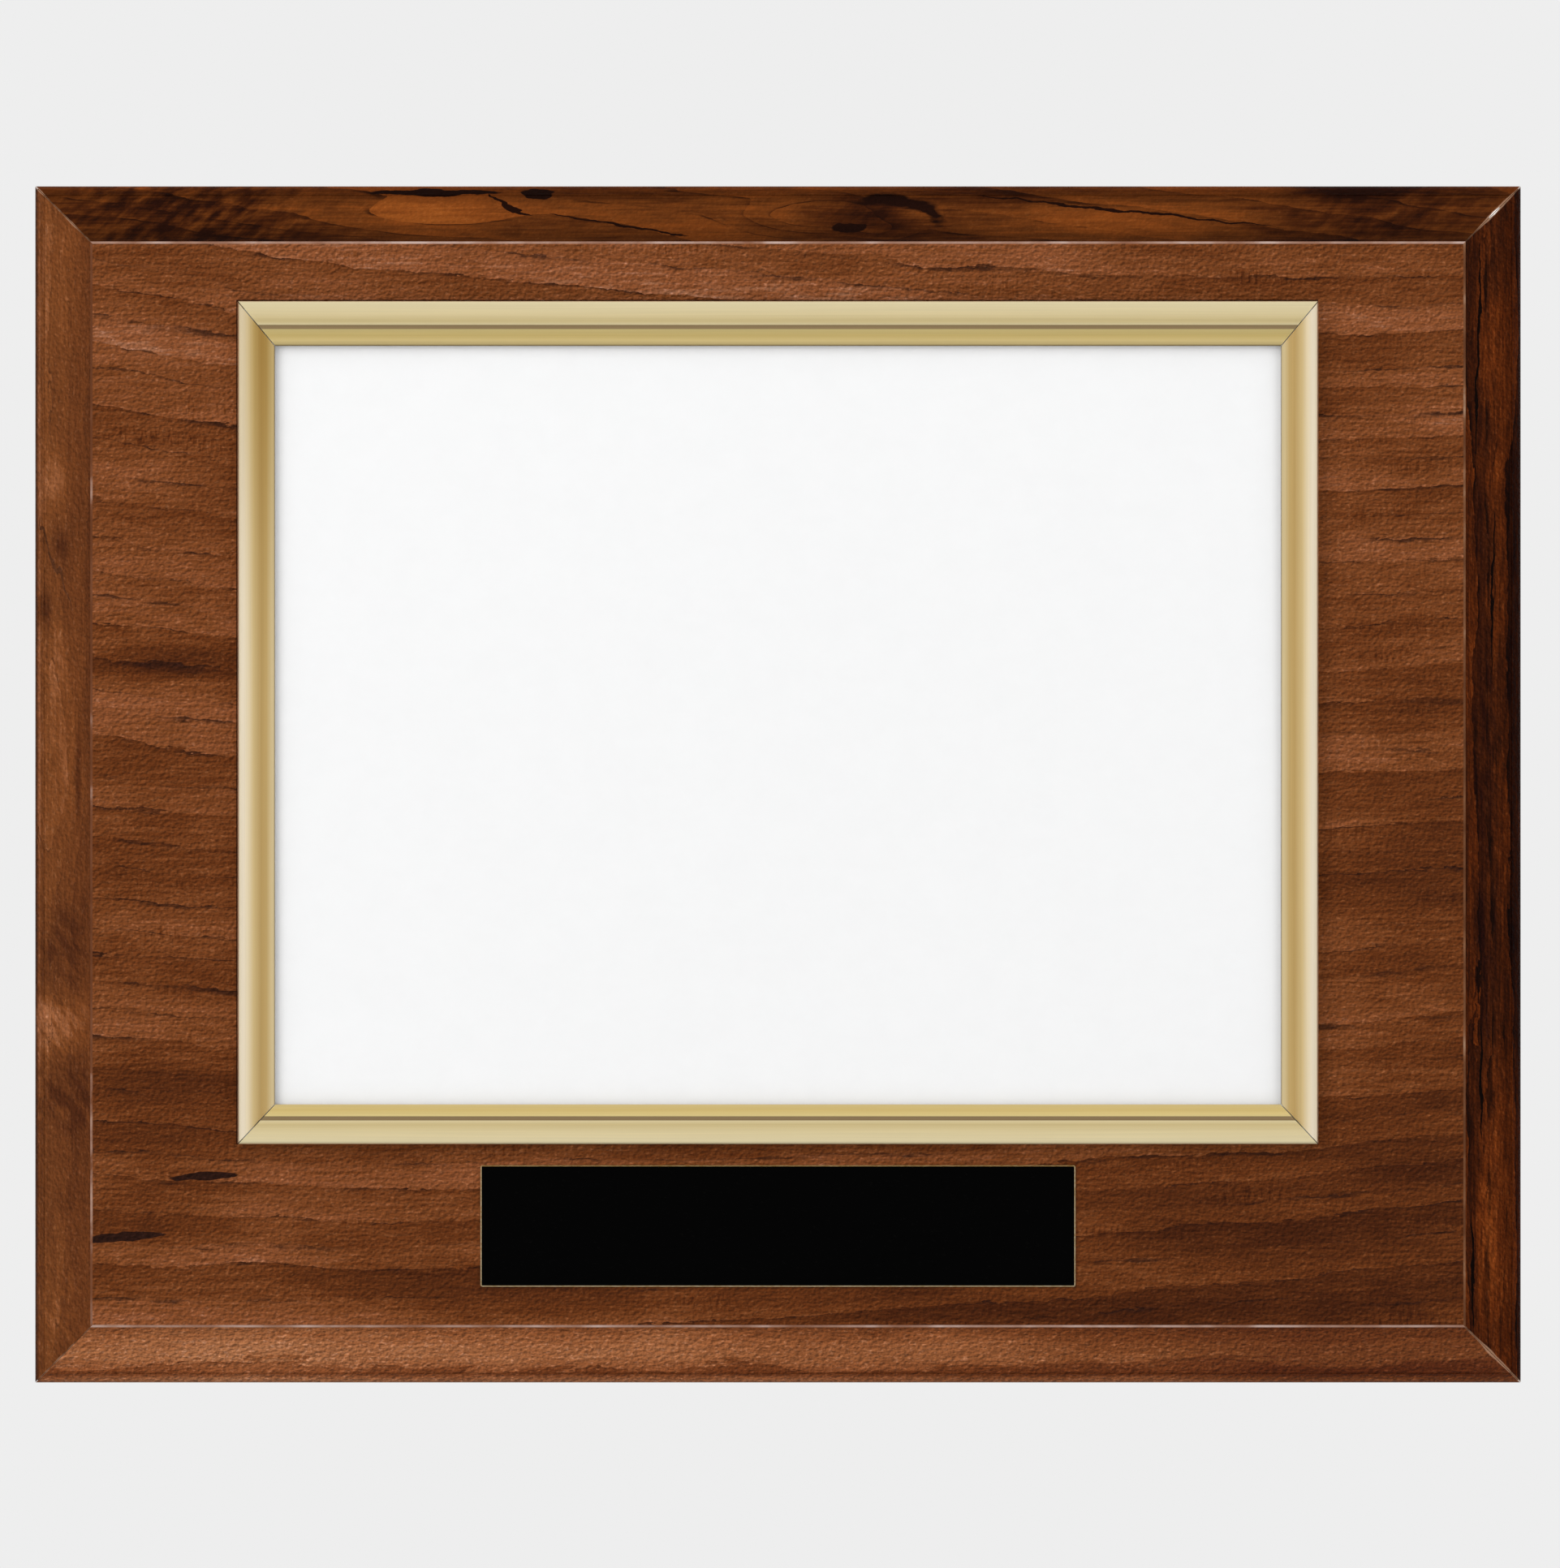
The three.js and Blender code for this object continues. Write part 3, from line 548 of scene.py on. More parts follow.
def walnut_foil(side, edge, shade, **figure):
    """
    A strip's walnut: painted light and shade across the bevel's profile make its print darker or lighter by
    the distance in from the board's edge, and it is worn pale along the mitres, with one white chip.
    """
    made, tree, shader, plain = walnut(f"walnut_foil_{side}", **figure)
    place = grain_place(tree)
    across = add_node(tree, "SeparateXYZ", [grain_place(tree, figure["turn"])]).outputs[2]
    inset = add_node(tree, "MapRange", [across, edge, edge - np.sign(edge) * bevel_width])
    # Painted light and shade: a grey ramp by distance in from the edge, across the bevel's profile,
    # multiplies the print
    stops = [(inset_mm / bevel_width, grey) for inset_mm, grey in shade]
    depth = add_node(tree, "ValToRGB", [inset], stops)
    toned = {0: 1.0, 6: plain, 7: depth}
    profile_shaded_print = add_node(tree, "Mix", toned, data_type="RGBA", blend_type="MULTIPLY")
    outward = add_node(tree, "VectorMath", [place], operation="ABSOLUTE")
    right, _, up = add_node(tree, "SeparateXYZ", [outward]).outputs
    beyond = weighted(tree, (board_height - board_width) / 2, (right, 1.0), (up, -1.0))
    off_mitre = add_node(tree, "Math", [beyond], operation="ABSOLUTE")
    uneven = streaks(tree, place, length=5, width=5, detail=4)
    rubbed = weighted(tree, -WEAR / 2, (uneven, 1.8 * WEAR), (off_mitre, -1.0))
    for corner, radius in RUBBED_CORNERS:
        rubbed = weighted(tree, rubbed, (mound(tree, place, corner, (radius, radius)), WEAR / 2))
    wear = add_node(tree, "MapRange", [rubbed, 0.0, WEAR / 3, 0.0, 0.7])
    worn = add_node(tree, "Mix", {0: wear, 6: profile_shaded_print, 7: "#b98e71"}, data_type="RGBA")
    loss = mound(tree, place, CHIP, (CHIP_SIZE, CHIP_SIZE))
    flake = weighted(tree, 0.0, (loss, 1.0), (uneven, 0.4), (off_mitre, -1.3))
    white = add_node(tree, "MapRange", [flake, 0.5, 0.6])
    chipped = add_node(tree, "Mix", {0: white, 6: worn, 7: "#fff4ec"}, data_type="RGBA")
    wire(tree, shader, {"Base Color": chipped})
    return made


board_width, _, board_height = (np.array(cad_box[1]) - np.array(cad_box[0])) / MM
bevel_width = board_width / 2 - face_high[0]
STRIPS = {  # shade: painted light and shade by distance in from the edge, across the bevel's profile; patches and marks as on the face
    "top": dict(
        edge=board_height / 2, turn=0, seed=(37, 5, 11), ring=6, sway=(7, 70, 12), slant=0.14,
        line="#1e0b05", gloss=0.03, emboss=0.35, ripple=0.3, fray=0.12, fibre=0.35, mottle=0.4,
        tones=[(0.2, "#270f06"), (0.35, "#46200a"), (0.5, "#693613"), (0.65, "#854418"), (0.85, "#9e5520")],
        shade=[
            (0.4, "#fff4ea"), (1.2, "#d4ccc4"), (2.2, "#ccc8c4"), (3.5, "#e4e4e4"), (5.5, "#ffffff"),
            (9, "#f0f0f0"), (13, "#c8c8c8"),
        ],
        knots=[((-92, 148.5), (34, 7), 8), ((8, 147.5), (30, 7), 12), ((26, 144), (15, 5), 7)],
        patches=[
            ((-155, 149), (55, 30), -0.14, 1.1), ((-90, 149), (28, 7), 0.22, 0.0),
            ((24, 148), (24, 10), -0.22, 0.4), ((36, 149), (10, 4), 0.12, 0.0),
            ((85, 146.5), (48, 8), 0.2, 0.0), ((158, 150), (52, 18), -0.2, 0.5),
            ((150, 155), (22, 4), -0.3, 0.0),
        ],
        marks=[
            ((30, 147.5), (16, 8), 0, ((27, 146), (16.5, 7))),
            ((-2, 149.5), (21, 4.9), 0, ((-0.6, 149.6), (21, 4.6))),
            ((19, 145.5), (6, 1.6), 0, None), ((-70, 151), (7, 0.6), -0.5, None),
            ((-90, 154.5), (22, 1.1), 0, None), ((-42, 146), (22, 0.36), -0.15, None),
            ((92, 149.5), (48, 0.36), -0.105, None), ((-62, 153.8), (5, 1.6), 0, None),
        ],
    ),
    "right": dict(
        edge=-board_width / 2, turn=QUARTER, seed=(90, 3, 40), ring=3.4, sway=(12, 80, 9), line="#0d0503",
        gloss=0.03, emboss=0.9, ripple=0.9, fray=0.5, fibre=0.5, mottle=0.6, vein=0.26,
        tones=[(0.2, "#210b06"), (0.42, "#411c09"), (0.58, "#602b0d"), (0.85, "#8e4619")],
        shade=[
            (0, "#aca0a0"), (3.2, "#b4acac"), (4.5, "#d0c8c2"), (7, "#fffaf6"), (10.5, "#f6f0ea"),
            (12.5, "#e8e0da"), (14.4, "#e4dcd6"),
        ],
        patches=[
            ((-115, -185), (38, 4), 0.2, 0.5), ((-36, -182.8), (18, 2.4), -0.3, 0.3),
            ((10, -187), (50, 6), -0.1, 0.4),
        ],
        marks=[
            ((114, -182.7), (34, 0.4), -0.028, None), ((50, -186.6), (26, 0.36), -0.028, None),
            ((-78, -183.6), (18, 0.4), 0.0, None), ((-126, -181.3), (20, 0.4), 0.01, None),
        ],
    ),
    "bottom": dict(
        edge=-board_height / 2, turn=0, seed=(-60, 9, 70), ring=14, sway=(8, 150, 45), line="#6e3c1d",
        gloss=0.08, emboss=1.1, fibre=0.2, mottle=0.3, chatter=0.12,
        tones=[(0.2, "#5f2e14"), (0.4, "#7f4723"), (0.55, "#9f623a"), (0.8, "#c0855b")],
        shade=[
            (0, "#ccc4c0"), (1.2, "#e6dcd8"), (1.9, "#d2c2b6"), (2.4, "#c6b6a8"), (3.0, "#e2d2c6"),
            (6.5, "#f8f6f6"), (9.5, "#f4f0ee"), (12.5, "#e6dace"), (14.4, "#e6d8c8"),
        ],
        patches=[
            ((-120, -149), (130, 60), 0.12, 0.0), ((160, -149), (160, 60), -0.2, 0.0),
            # painted light: the last patch lightens the downward-facing nose along the whole strip
            ((0, -157), (700, 4), 0.3, 0.0),
        ],
    ),
    "left": dict(
        edge=board_width / 2, turn=QUARTER, seed=(20, 7, -30), ring=9, sway=(9, 140, 20), slant=0.04,
        line="#55301a", gloss=0.05, emboss=0.75, fibre=0.3, mottle=0.4, vein=0.04,
        knots=[((8, 188), (42, 10), 12)],
        tones=[(0.2, "#4d2712"), (0.42, "#68391b"), (0.58, "#7a4521"), (0.85, "#a56842")],
        shade=[(0, "#7a7068"), (0.8, "#d8d0c8"), (2.6, "#ffffff"), (7, "#fbf8f6"), (14.4, "#fbf4ee")],
        patches=[
            ((78, 190), (16, 8), 0.2, 0.3), ((62, 187), (6, 3), -0.25, 0.3),
            ((46, 191.5), (8, 3), -0.3, 0.0), ((33, 188), (13, 4), 0.15, 0.3),
            ((2, 182.6), (18, 1.4), -0.3, 0.3), ((-42, 187), (20, 14), -0.14, 0.7),
            ((-62, 188), (13, 14), 0.28, 1.0), ((-82, 185), (14, 13), -0.16, 1.3),
            # the last patch, a pale line along the rounded outer edge, is a painted highlight
            ((-138, 188), (30, 14), 0.12, 0.5), ((0, 192.8), (300, 0.6), 0.25, 0.3),
        ],
        marks=[((56.5, 188.3), (15, 0.42), 0.38, None)],
    ),
}
section = foil_section(bevel_width, face_back, -box_mm("edge_strip_top")[1][1])
for side in SIDES:
    points, faces, _ = bar([section], side, board_width, board_height, (1, 1), FOIL_GAP, 0, 0)
    foil = walnut_foil(side, **STRIPS[side])
    add_piece(f"walnut_edge_{side}", points, faces, [foil], f"edge_strip_{side}")

# Backing card: grey recycled board glued to the face between the rails' feet, so that the certificate
# lies flat. It shows only when the certificate is out of the frame.
CARD_EASE = 0.2  # radius of its arrises
CARD_CORNER = 0.8


def recycled_board():
    """Grey chipboard: mottled pulp with darker flecks of old print, dull."""
    made, tree, shader, place = new_material("grey_recycled_board")
    pulp = streaks(tree, place, length=3.5, width=1.2, detail=4)
    fleck = streaks(tree, place, length=1.1, width=0.5, detail=1)
    grey = add_node(tree, "ValToRGB", [pulp], [(0.35, "#8a8781"), (0.65, "#9f9b94")])
    spot = add_node(tree, "MapRange", [fleck, 0.68, 0.74, 0.0, 0.7])
    flecked = add_node(tree, "Mix", {0: spot, 6: grey, 7: "#565049"}, data_type="RGBA")
    bump = add_node(tree, "Bump", {"Strength": 0.4, "Distance": 0.08 * MM, "Height": pulp})
    wire(tree, shader, {"Base Color": flecked, "Roughness": 0.95, "Normal": bump})
    return made


def eased_sheet(node, ease, corner):
    """A slab in a CAD node's box: its corners are rounded, and its arrises on quarter circles."""
    low, high = box_mm(node)
    arc = np.radians(np.linspace(0, 90, 5))
    lower = np.stack([ease - ease * np.sin(arc), -high[1] + ease - ease * np.cos(arc)], -1)
    upper = np.stack([ease - ease * np.cos(arc), -low[1] - ease + ease * np.sin(arc)], -1)
    return slab(low, high, np.vstack([lower, upper]), corner, steps=6)


points, faces = eased_sheet("backing_card", CARD_EASE, CARD_CORNER)
add_piece("grey_card", points, faces, [recycled_board()], "backing_card")

# Frame rails: extruded aluminium, satin gold anodised, mitred and closed by corner keys. The side rails
# sweep down in one hollow, the top and bottom rails step down in two tiers with a fine quirk between.
RAILS = {"top": 11.7, "right": 9.75, "bottom": 10.4, "left": 9.75}  # widths seen from the front
RAIL_WALL = 0.9
LIP = 1.35  # thickness over the sheets
LIP_ROUND = 0.4
FOOT = 1.2  # thickness on the board
FOOT_REACH = 8.0  # past the sight edge
SIDE_BEAD = 1.6  # radius of a side rail's outer edge
STEP_BEAD = 0.8  # and of the others'
TIER = 6.3  # width of the outer tier
TIER_FALL = 0.4
QUIRK = (1.0, 0.7)  # width and depth of the groove between the tiers
INNER_RISE = 0.3  # from the groove's floor to the inner tier
RAIL_GAP = 0.3  # between two rails at a mitre
KEY = (2.8, 1.0)  # width and thickness of a corner key
KEY_PLAY = 0.2
KEY_INSET = 2.9  # from a side rail's outer edge to the middle of the key
KEY_FLOOR = 0.6  # metal under the key
SCREW_SHANK = 1.1  # radius
SCREW_HEAD = 2.2  # radius
SCREW_PLAY = 0.2
ROUND = 40  # points round a screw or its hole
BAND_RANGE = 12.0  # distance in from a rail's outer edge that the gold's bands of painted light and shade cover
SHADE_GOLD = "#dfd4b4"  # tint of the painted shade on a stretch of a rail's hollow


def crown(rail, stepped):
    """The rail's top from its outer edge to the sight edge, as (inset, height) points."""
    lip_corner = (rail - LIP_ROUND, lip_top)
    lip_end = bezier(lip_corner, (rail, lip_top), (rail, lip_top - LIP_ROUND), steps=6)
    if not stepped:
        half_way = (SIDE_BEAD + rail - LIP_ROUND) / 2
        bead = bezier((0, rail_height - SIDE_BEAD), (0, rail_height), (SIDE_BEAD, rail_height))
        shoulder, hollow = (half_way, rail_height), (half_way, lip_top)
        sweep = bezier((SIDE_BEAD, rail_height), shoulder, hollow, lip_corner, steps=24)
        return chain(bead, sweep, lip_end)
    tier_edge = rail_height - TIER_FALL
    floor = tier_edge - QUIRK[1]
    inner = TIER + QUIRK[0]
    bead = bezier((0, rail_height - STEP_BEAD), (0, rail_height), (STEP_BEAD, rail_height))
    tier = bezier((STEP_BEAD, rail_height), ((STEP_BEAD + TIER) / 2, rail_height), (TIER, tier_edge))
    slope = bezier((inner, floor + INNER_RISE), ((inner + lip_corner[0]) / 2, lip_top), lip_corner)
    return chain(bead, tier, (TIER, floor), (inner, floor), slope, lip_end)


def rail_loops(side):
    """A rail's outside and its key channel. The top rail is a bar, the others wrap round the sheets."""
    rail = RAILS[side]
    foot = [(RAIL_WALL, FOOT), (rail + FOOT_REACH, FOOT), (rail + FOOT_REACH, 0), (0, 0)]
    under = [(0, lip_underside)] if side == "top" else [(RAIL_WALL, lip_underside)] + foot
    outside = chain(crown(rail, side not in UPRIGHT), (rail, lip_underside), under)
    middle = KEY_INSET * rail / RAILS["left"]
    near, far = middle - KEY[0] / 2 - KEY_PLAY, middle + KEY[0] / 2 + KEY_PLAY
    floor = lip_underside + KEY_FLOOR
    roof = floor + KEY[1] + KEY_PLAY
    return [outside, [(near, roof), (far, roof), (far, floor), (near, floor)]]


def satin_gold(name, axis, edge, centre, bands, deeper=()):
    """
    Gold anodised aluminium, satin: fine draw lines along the rail, faint dull patches, and painted light
    and shade by the distance in from the rail's outer edge: painted reflections brighten the beads and
    tiers, and painted shade darkens the hollows, the quirk and the sight edge. Stretches of deeper painted
    shade are given by a centre and half a size.
    """
    made, tree, shader, place = new_material(name, QUARTER if axis == "X" else 0.0)
    across = add_node(tree, "SeparateXYZ", [grain_place(tree)]).outputs[axis]
    out = add_node(tree, "Math", [weighted(tree, -centre, (across, 1.0))], operation="ABSOLUTE")
    inset = add_node(tree, "MapRange", [out, edge, edge - BAND_RANGE])
    stops = [(inset_mm / BAND_RANGE, colour) for inset_mm, colour in bands]
    gold = add_node(tree, "ValToRGB", [inset], stops)
    for middle, half in deeper:
        tint = {0: mound(tree, grain_place(tree), middle, half), 6: gold, 7: SHADE_GOLD}
        gold = add_node(tree, "Mix", tint, data_type="RGBA", blend_type="MULTIPLY")
    draw = streaks(tree, place, length=60, width=0.35, detail=2)
    shade = add_node(tree, "MapRange", {"Value": draw, "To Min": 0.92, "To Max": 1.08})
    drawn = {0: 1.0, 6: gold, 7: shade}
    lined = add_node(tree, "Mix", drawn, data_type="RGBA", blend_type="MULTIPLY")
    patch = streaks(tree, place, length=25, width=4)
    rough = add_node(tree, "MapRange", {"Value": patch, "To Min": 0.34, "To Max": 0.46})
    bump = add_node(tree, "Bump", {"Strength": 0.15, "Distance": 0.02 * MM, "Height": draw})
    wire(tree, shader, {"Base Color": lined, "Roughness": rough, "Normal": bump, "Metallic": 1.0})
    return made


def mottled(name, length, width, tones, finish):
    """A material of one pattern: noise of a length and a width gives its tone, and finish the rest."""
    made, tree, shader, place = new_material(name)
    pattern = streaks(tree, place, length, width)
    tone = add_node(tree, "ValToRGB", [pattern], tones)
    wire(tree, shader, {"Base Color": tone, **finish})
    return made


def turned(profile):
    """A turning on the Y axis: each (radius, height) point swept round a circle."""
    around = np.linspace(0, 2 * np.pi, ROUND, endpoint=False)
    radius, height = np.array(profile, float).T[..., None]
    level = np.broadcast_to(-height, (len(profile), ROUND))
    return np.stack([radius * np.cos(around), level, radius * np.sin(around)], -1)


def bore(piece, places, profile):
    """Cuts the same turned hole into a piece at several places, and leaves no tool behind."""
    hole = turned(profile)
    rows, columns = hole.shape[:2]
    caps = np.arange(rows * columns).reshape(rows, columns)[[0, -1]]
    sides = grid_faces(rows, columns)
    starts = np.arange(len(places)) * rows * columns
    faces = [face for start in starts for face in (sides + start).tolist() + (caps + start).tolist()]
    tool_mesh = bpy.data.meshes.new("countersinks")
    points = np.concatenate([hole + place for place in places]).reshape(-1, 3)
    tool_mesh.from_pydata(points * MM, [], faces)
    close_shell(tool_mesh)
    tool = bpy.data.objects.new("countersinks", tool_mesh)
    scene.collection.objects.link(tool)
    cut = piece.modifiers.new("countersinks", "BOOLEAN")
    cut.object = tool
    cut.operation = "DIFFERENCE"
    cut.solver = "EXACT"
    with bpy.context.temp_override(object=piece, active_object=piece):
        bpy.ops.object.modifier_apply(modifier=cut.name)
    bpy.data.objects.remove(tool)
    bpy.data.meshes.remove(tool_mesh)


rail_height = -rail_boxes["top"][0][1] - face_front
lip_underside = -rail_boxes["top"][1][1] - face_front
lip_top = lip_underside + LIP
screws = {node: box_mm(node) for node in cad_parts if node.startswith("rail_screw_")}
screw_places = {node: (low + high) / 2 * (1, 0, 1) for node, (low, high) in screws.items()}
screw_tip = -max(high[1] for _, high in screws.values())
screw_top = -min(low[1] for low, _ in screws.values())
screw_neck = screw_top - (SCREW_HEAD - SCREW_SHANK)
hole_profile = [
    (SCREW_HEAD + SCREW_PLAY, screw_top + FOOT),
    (SCREW_HEAD + SCREW_PLAY, screw_top),
    (SCREW_SHANK + SCREW_PLAY, screw_neck),
    (SCREW_SHANK + SCREW_PLAY, screw_neck - FOOT),
]
# The bands are painted light and shade: painted reflections on the beads and tiers, painted shade in the
# hollow, the quirk and at the sight edge; the deeper stretch is painted shade on the upper left rail's
# hollow
side_gold = satin_gold(
    "satin_gold_side", "X", frame_width / 2, 0,
    [
        (0.3, "#f4e4c4"), (1.5, "#faebd0"), (2.6, "#f9e7c3"), (4.2, "#e2c78f"), (6.2, "#caa86b"),
        (7.6, "#d1b174"), (8.9, "#e2cc9c"), (9.45, "#e2cc9c"), (9.75, "#7d6a48"),
    ],
    deeper=[((6.5 - frame_width / 2, 130), (12, 110))],
)
step_gold = satin_gold(
    "satin_gold_step", "Z", frame_height / 2, frame_centre,
    [
        (0.3, "#eedfb5"), (3.2, "#ebd9a9"), (5.2, "#dcc791"), (6.1, "#e9d8a9"), (6.3, "#9f8864"),
        (7.2, "#9c8561"), (7.4, "#ead493"), (9.0, "#e1c67f"), (10.3, "#e2ca8c"), (11.2, "#c9b47d"),
        (11.7, "#7d6a48"),
    ],
)
# Sawn end of a rail, darkened by oil: dull brown metal with saw lines
oily = [(0.35, "#2c2118"), (0.65, "#54432f")]
sawn = mottled("sawn_aluminium", 4, 0.3, oily, {"Metallic": 1.0, "Roughness": 0.6})
for side in SIDES:
    ends = {"right": ("bottom", "top"), "left": ("top", "bottom")}.get(side, ("right", "left"))
    slopes = [RAILS[end] / RAILS[side] for end in ends]
    points, faces, paint = bar(
        rail_loops(side), side, frame_width, frame_height, slopes, RAIL_GAP, face_front, frame_centre
    )
    gold = [side_gold if side in UPRIGHT else step_gold, sawn]
    rail = add_piece(
        f"gold_rail_{side}", points, faces, gold, f"frame_rail_{side}", paint=paint
    )
    places = [place for node, place in screw_places.items() if side in node]
    if places:
        bore(rail, places, hole_profile)

# Corner keys: flat steel angles, zinc plated, pressed into the rails' key channels at the four corners.
# They hold the mitres shut and carry the top rail, and are hidden inside the rails.


def zinc_plate():
    """Bright zinc plating on steel: a cool grey metal with a mottled passivated bloom."""
    made, tree, shader, place = new_material("zinc_plated_steel")
    bloom = streaks(tree, place, length=1.5, width=1.2, detail=3)
    ramp = [(0.35, "#9fa4a8"), (0.6, "#c4c8c9"), (0.7, "#d2cfbe")]
    grey = add_node(tree, "ValToRGB", [bloom], ramp)
    rough = add_node(tree, "MapRange", {"Value": bloom, "To Min": 0.25, "To Max": 0.5})
    wire(tree, shader, {"Base Color": grey, "Roughness": rough, "Metallic": 1.0})
    return made


zinc = zinc_plate()
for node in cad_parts:
    if node.startswith("corner_key_"):
        dress(node, zinc)

# Rail screws: zinc-plated countersunk wood screws with a cross recess, driven through the rails' feet
# into the board, where the certificate hides them.
SCREW_POINT = 2.0  # length of the tip
THREAD_PITCH = 1.0
THREAD_DEPTH = 0.18
HEAD_ROWS = 26
SHANK_ROWS = 56
PLAIN_ROWS = 2  # of the shank's, above the thread
CROSS = (0.28, 1.35, 0.9)  # half width, reach and depth of the recess
CROSS_EASE = (0.12, 0.7)  # over which the recess's sides and the ends of its arms fall


def cross_screw():
    """
    A turned screw whose head dips where its cross lies, deepest within half a width of either arm's line
    and fading at the arms' ends, and whose shank swells with a saw-tooth of height less turn.
    """
    top = [(radius, screw_top) for radius in np.linspace(0, SCREW_HEAD, HEAD_ROWS)]
    heights = np.linspace(screw_neck, screw_tip + SCREW_POINT, SHANK_ROWS)
    shank = [(SCREW_SHANK, height) for height in heights]
    tip = [(SCREW_SHANK * part, screw_tip + SCREW_POINT * part) for part in (0.75, 0.5, 0.25, 0)]
    made = turned(top + shank + tip)
    x, z = made[..., 0], made[..., 2]
    near, far = np.minimum(abs(x), abs(z)), np.maximum(abs(x), abs(z))
    half, reach, depth = CROSS
    side, end = CROSS_EASE
    dip = depth * np.clip((half - near) / side + 0.5, 0, 1) * np.clip((reach - far) / end, 0, 1)
    made[: len(top), :, 1] += dip[: len(top)]
    threaded = slice(len(top) + PLAIN_ROWS, len(top) + len(shank))
    turn = np.arctan2(z, x)[threaded] / (2 * np.pi)
    tooth = (-made[threaded, :, 1] / THREAD_PITCH - turn) % 1
    made[threaded, :, ::2] *= 1 - (THREAD_DEPTH / SCREW_SHANK) * abs(2 * tooth - 1)[..., None]
    return made


screw_shape = cross_screw()
screw_faces = grid_faces(*screw_shape.shape[:2]).tolist()
for node, place in screw_places.items():
    name = node.replace("rail", "cross")
    add_piece(name, screw_shape + place, screw_faces, [zinc], node)

# Certificate: a blank letter-size sheet of heavy white paper, with the slight cockle of paper that has
# hung in a frame. It slides up and out behind the top rail.
COCKLE = 0.08  # greatest rise and fall
COCKLE_ACROSS = 29  # length of a wave across the sheet, over 2 pi
COCKLE_UP = 37  # of a wave up the sheet
COCKLE_LEAN = 90  # of its shift across the sheet


def bond_paper():
    """Heavy bond paper: bright white, matt, with a cloudy fibre formation and a fine tooth."""
    made, tree, shader, place = new_material("white_bond_paper")
    cloud = streaks(tree, place, length=5, width=4, detail=4)
    tooth = streaks(tree, place, length=0.8, width=0.8, detail=2)
    white = add_node(tree, "ValToRGB", [cloud], [(0.3, "#fcfcfc"), (0.7, "#fefefe")])
    bump = add_node(tree, "Bump", {"Strength": 0.1, "Distance": 0.02 * MM, "Height": tooth})
    wire(tree, shader, {"Base Color": white, "Roughness": 0.9, "Normal": bump, "Specular IOR Level": 0.2})
    return made


def cockled_sheet(low, high, columns=57, rows=45):
    """
    A sheet as a flattened tube: each row of points runs over the front and returns over the back, and
    both sides rise and fall together by a product of two sines.
    """
    across = np.linspace(low[0], high[0], columns)
    up = np.linspace(low[2], high[2], rows)[:, None]
    wave = COCKLE * np.sin(across / COCKLE_ACROSS) * np.sin(up / COCKLE_UP + across / COCKLE_LEAN)
    front = np.stack(np.broadcast_arrays(across, low[1] + wave, up), -1)
    back = np.stack(np.broadcast_arrays(across, high[1] + wave, up), -1)[:, ::-1]
    points = np.concatenate([front, back], 1)
    left = np.arange(columns - 1)
    edge = np.stack([left, left + 1, 2 * columns - 2 - left, 2 * columns - 1 - left], -1)
    faces = grid_faces(rows, 2 * columns).tolist() + edge.tolist()
    return points, faces + (edge + (rows - 1) * 2 * columns).tolist()


points, faces = cockled_sheet(*box_mm("certificate"))
add_piece("blank_certificate", points, faces, [bond_paper()], "certificate", "certificate")

# Clear cover: a sheet of cast acrylic with polished edges, cut to the certificate's size. It slides in
# front of the certificate and mirrors a little of the room.
COVER_EASE = 0.15  # radius of its arrises
COVER_CORNER = 1.0
WIPE_ANGLE = 0.6  # of the haze that a cloth left
MIRROR = 0.04  # share of the light that it mirrors face on


def clear_acrylic():
    """Clear acrylic: passes what is behind it and mirrors more at a glance, with faint wiping haze."""
    made, tree, shader, place = new_material("clear_acrylic", WIPE_ANGLE)
    tree.nodes.remove(shader)
    wipe = streaks(tree, place, length=40, width=3)
    rough = add_node(tree, "MapRange", {"Value": wipe, "To Min": 0.02, "To Max": 0.09})
    gloss = add_node(tree, "BsdfGlossy", {"Color": "#ffffff", "Roughness": rough})
    clear = add_node(tree, "BsdfTransparent", {"Color": "#ffffff"})
    facing = add_node(tree, "LayerWeight", {"Blend": 0.5}).outputs["Facing"]
    glance = add_node(tree, "Math", [facing, 5.0], operation="POWER")
    mirror = weighted(tree, MIRROR, (glance, 1 - MIRROR))
    mixed = add_node(tree, "MixShader", [mirror, clear, gloss])
    wire(tree, tree.nodes["Material Output"], {"Surface": mixed})
    return made


points, faces = eased_sheet("clear_cover", COVER_EASE, COVER_CORNER)
add_piece("acrylic_cover", points, faces, [clear_acrylic()], "clear_cover", "clear_cover")

# Name plate: sheet brass lacquered black, sheared and chamfered so that a bright line of brass runs round
# it, and left blank. A film of transfer adhesive holds it to the face.
PLATE_CHAMFER = 0.3
PLATE_CORNER = 0.5


def black_lacquer():
    """Black lacquer on brass: deep black, with faint dust and rubbing marks in its gloss."""
    made, tree, shader, place = new_material("black_lacquered_brass")
    rub = streaks(tree, place, length=18, width=1.5, detail=3)
    dust = streaks(tree, place, length=0.6, width=0.6, detail=1)
    rough = add_node(tree, "MapRange", {"Value": rub, "To Min": 0.22, "To Max": 0.4})
    spot = add_node(tree, "MapRange", [dust, 0.7, 0.78, 0.0, 0.5])
    black = add_node(tree, "Mix", {0: spot, 6: "#020202", 7: "#100f0e"}, data_type="RGBA")
    wire(tree, shader, {"Base Color": black, "Roughness": rough, "Specular IOR Level": 0.015})
    return made


# Acrylic adhesive film: cloudy amber-white with trapped air
milky = [(0.4, "#cbbf9f"), (0.6, "#e6dfcc")]
dress("name_plate_adhesive", mottled("transfer_adhesive", 2, 2, milky, {"Roughness": 0.35}))
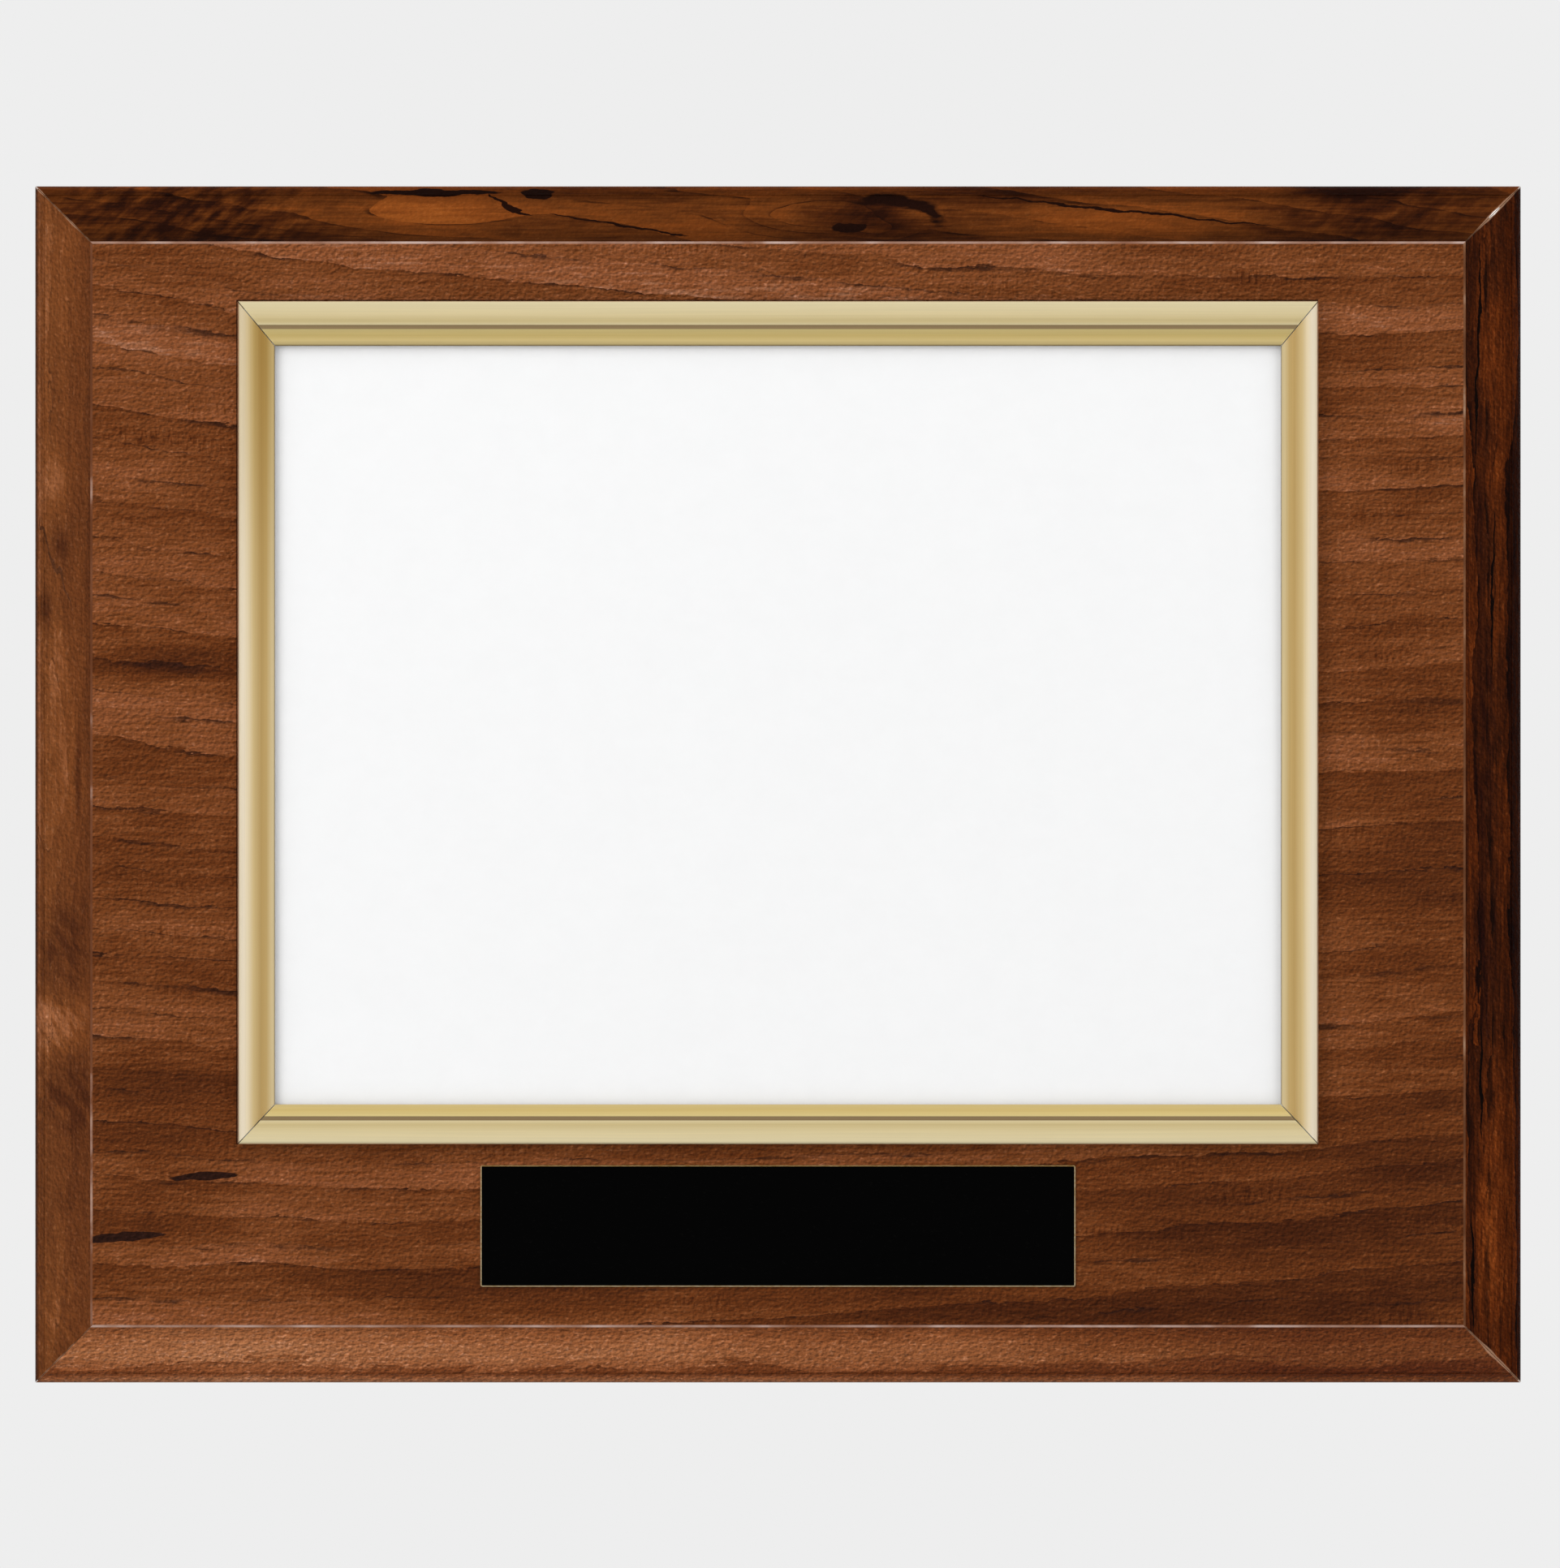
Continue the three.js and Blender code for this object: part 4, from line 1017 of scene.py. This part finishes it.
# Brass bared by the cutter: bright yellow metal with fine tool marks
yellow = [(0.35, "#d3b983"), (0.65, "#f0e0b8")]
cut_brass = mottled("cut_brass", 1.2, 0.6, yellow, {"Metallic": 1.0, "Roughness": 0.38})
plate_low, plate_high = box_mm("name_plate")
plate_back, plate_front = -plate_high[1], -plate_low[1]
plate_profile = [(0, plate_back), (0, plate_front - PLATE_CHAMFER), (PLATE_CHAMFER, plate_front)]
points, faces = slab(plate_low, plate_high, plate_profile, radius=PLATE_CORNER, steps=5)
plate_materials = [black_lacquer(), cut_brass]
plate_paint = [1] * (len(faces) - 1) + [0]  # lacquer on the front alone
add_piece(
    "black_name_plate", points, faces, plate_materials, "name_plate", paint=plate_paint
)

# Floor: a plain pale sheet well below the plaque, which hangs on a wall screw. It ends close behind the
# plaque, out of the camera's sight.
FLOOR_LEVEL = -330
FLOOR_CORNERS = [(-2500, -2500), (2500, -2500), (2500, 600), (-2500, 600)]
floor_mesh = bpy.data.meshes.new("floor")
floor_points = [(x * MM, y * MM, FLOOR_LEVEL * MM) for x, y in FLOOR_CORNERS]
floor_mesh.from_pydata(floor_points, [], [[0, 1, 2, 3]])
# Matt studio paper: pale grey with hardly any texture
pale = [(0.3, "#eff0f1"), (0.7, "#f4f5f6")]
floor_mesh.materials.append(mottled("studio_paper", 80, 80, pale, {"Roughness": 0.9}))
floor = bpy.data.objects.new("floor", floor_mesh)
scene.collection.objects.link(floor)

# Studio light: a soft key on the left, a weaker soft box on the right and one above, in a pale room. Flags
# keep the boxes themselves out of the metal's and the acrylic's reflections, which show only the room.
LAMPS = {  # place, size and power in watts
    "key": ((-1500, -2500, 600), 1600, 27.7),
    "fill": ((1600, -2700, 200), 1600, 15.0),
    "top": ((-200, -2300, 1700), 1600, 11.0),
}
AMBIENT = 0.47  # strength of the room's light on the plaque
for name, (place, size, power) in LAMPS.items():
    lamp = bpy.data.lights.new(name, "AREA")
    lamp.size = size * MM
    lamp.energy = power
    holder = bpy.data.objects.new(name, lamp)
    holder.location = np.array(place) * MM
    holder.rotation_euler = (-holder.location).to_track_quat("-Z", "Y").to_euler()
    holder.visible_glossy = False
    scene.collection.objects.link(holder)

room = bpy.data.worlds.new("pale_room")
room.use_nodes = True
room.node_tree.nodes.clear()
path = add_node(room.node_tree, "LightPath").outputs
shown = path["Is Camera Ray"]
for ray in ("Is Glossy Ray", "Is Transmission Ray"):
    shown = add_node(room.node_tree, "Math", [shown, path[ray]], operation="MAXIMUM")
ambient = add_node(room.node_tree, "Background", {"Color": "#f4f4f4", "Strength": AMBIENT})
backdrop = add_node(room.node_tree, "Background", {"Color": "#eeeeee", "Strength": 1.0})
mixed = add_node(room.node_tree, "MixShader", [shown, ambient, backdrop])
add_node(room.node_tree, "OutputWorld", {"Surface": mixed})
scene.world = room
scene.view_settings.view_transform = "Standard"

# Camera: straight in front with a long lens. The board spans as many of the picture's pixels as in the
# photograph, and its centre lies as far from the picture's.
LENS = 1000
SENSOR = 36
PHOTO_HEIGHT = 1932  # pixels
PHOTO_BOARD = 1830  # pixels across the board
PHOTO_OFFSET = (2.5, 0.5)  # pixels from the board's centre to the picture's, right and up
NOSE_HEIGHT = 6.9  # of the board's widest part above its back
SIGHT = 100  # metres that the camera sees
pixel = board_width / PHOTO_BOARD
camera = bpy.data.objects.new("camera", bpy.data.cameras.new("camera"))
camera.data.lens = LENS
camera.data.sensor_width = SENSOR
camera.data.clip_end = SIGHT
distance = PHOTO_HEIGHT * pixel * LENS / SENSOR + NOSE_HEIGHT
camera.location = np.array([PHOTO_OFFSET[0] * pixel, -distance, PHOTO_OFFSET[1] * pixel]) * MM
camera.rotation_euler = (QUARTER, 0, 0)
scene.collection.objects.link(camera)
bpy.context.scene.camera = camera
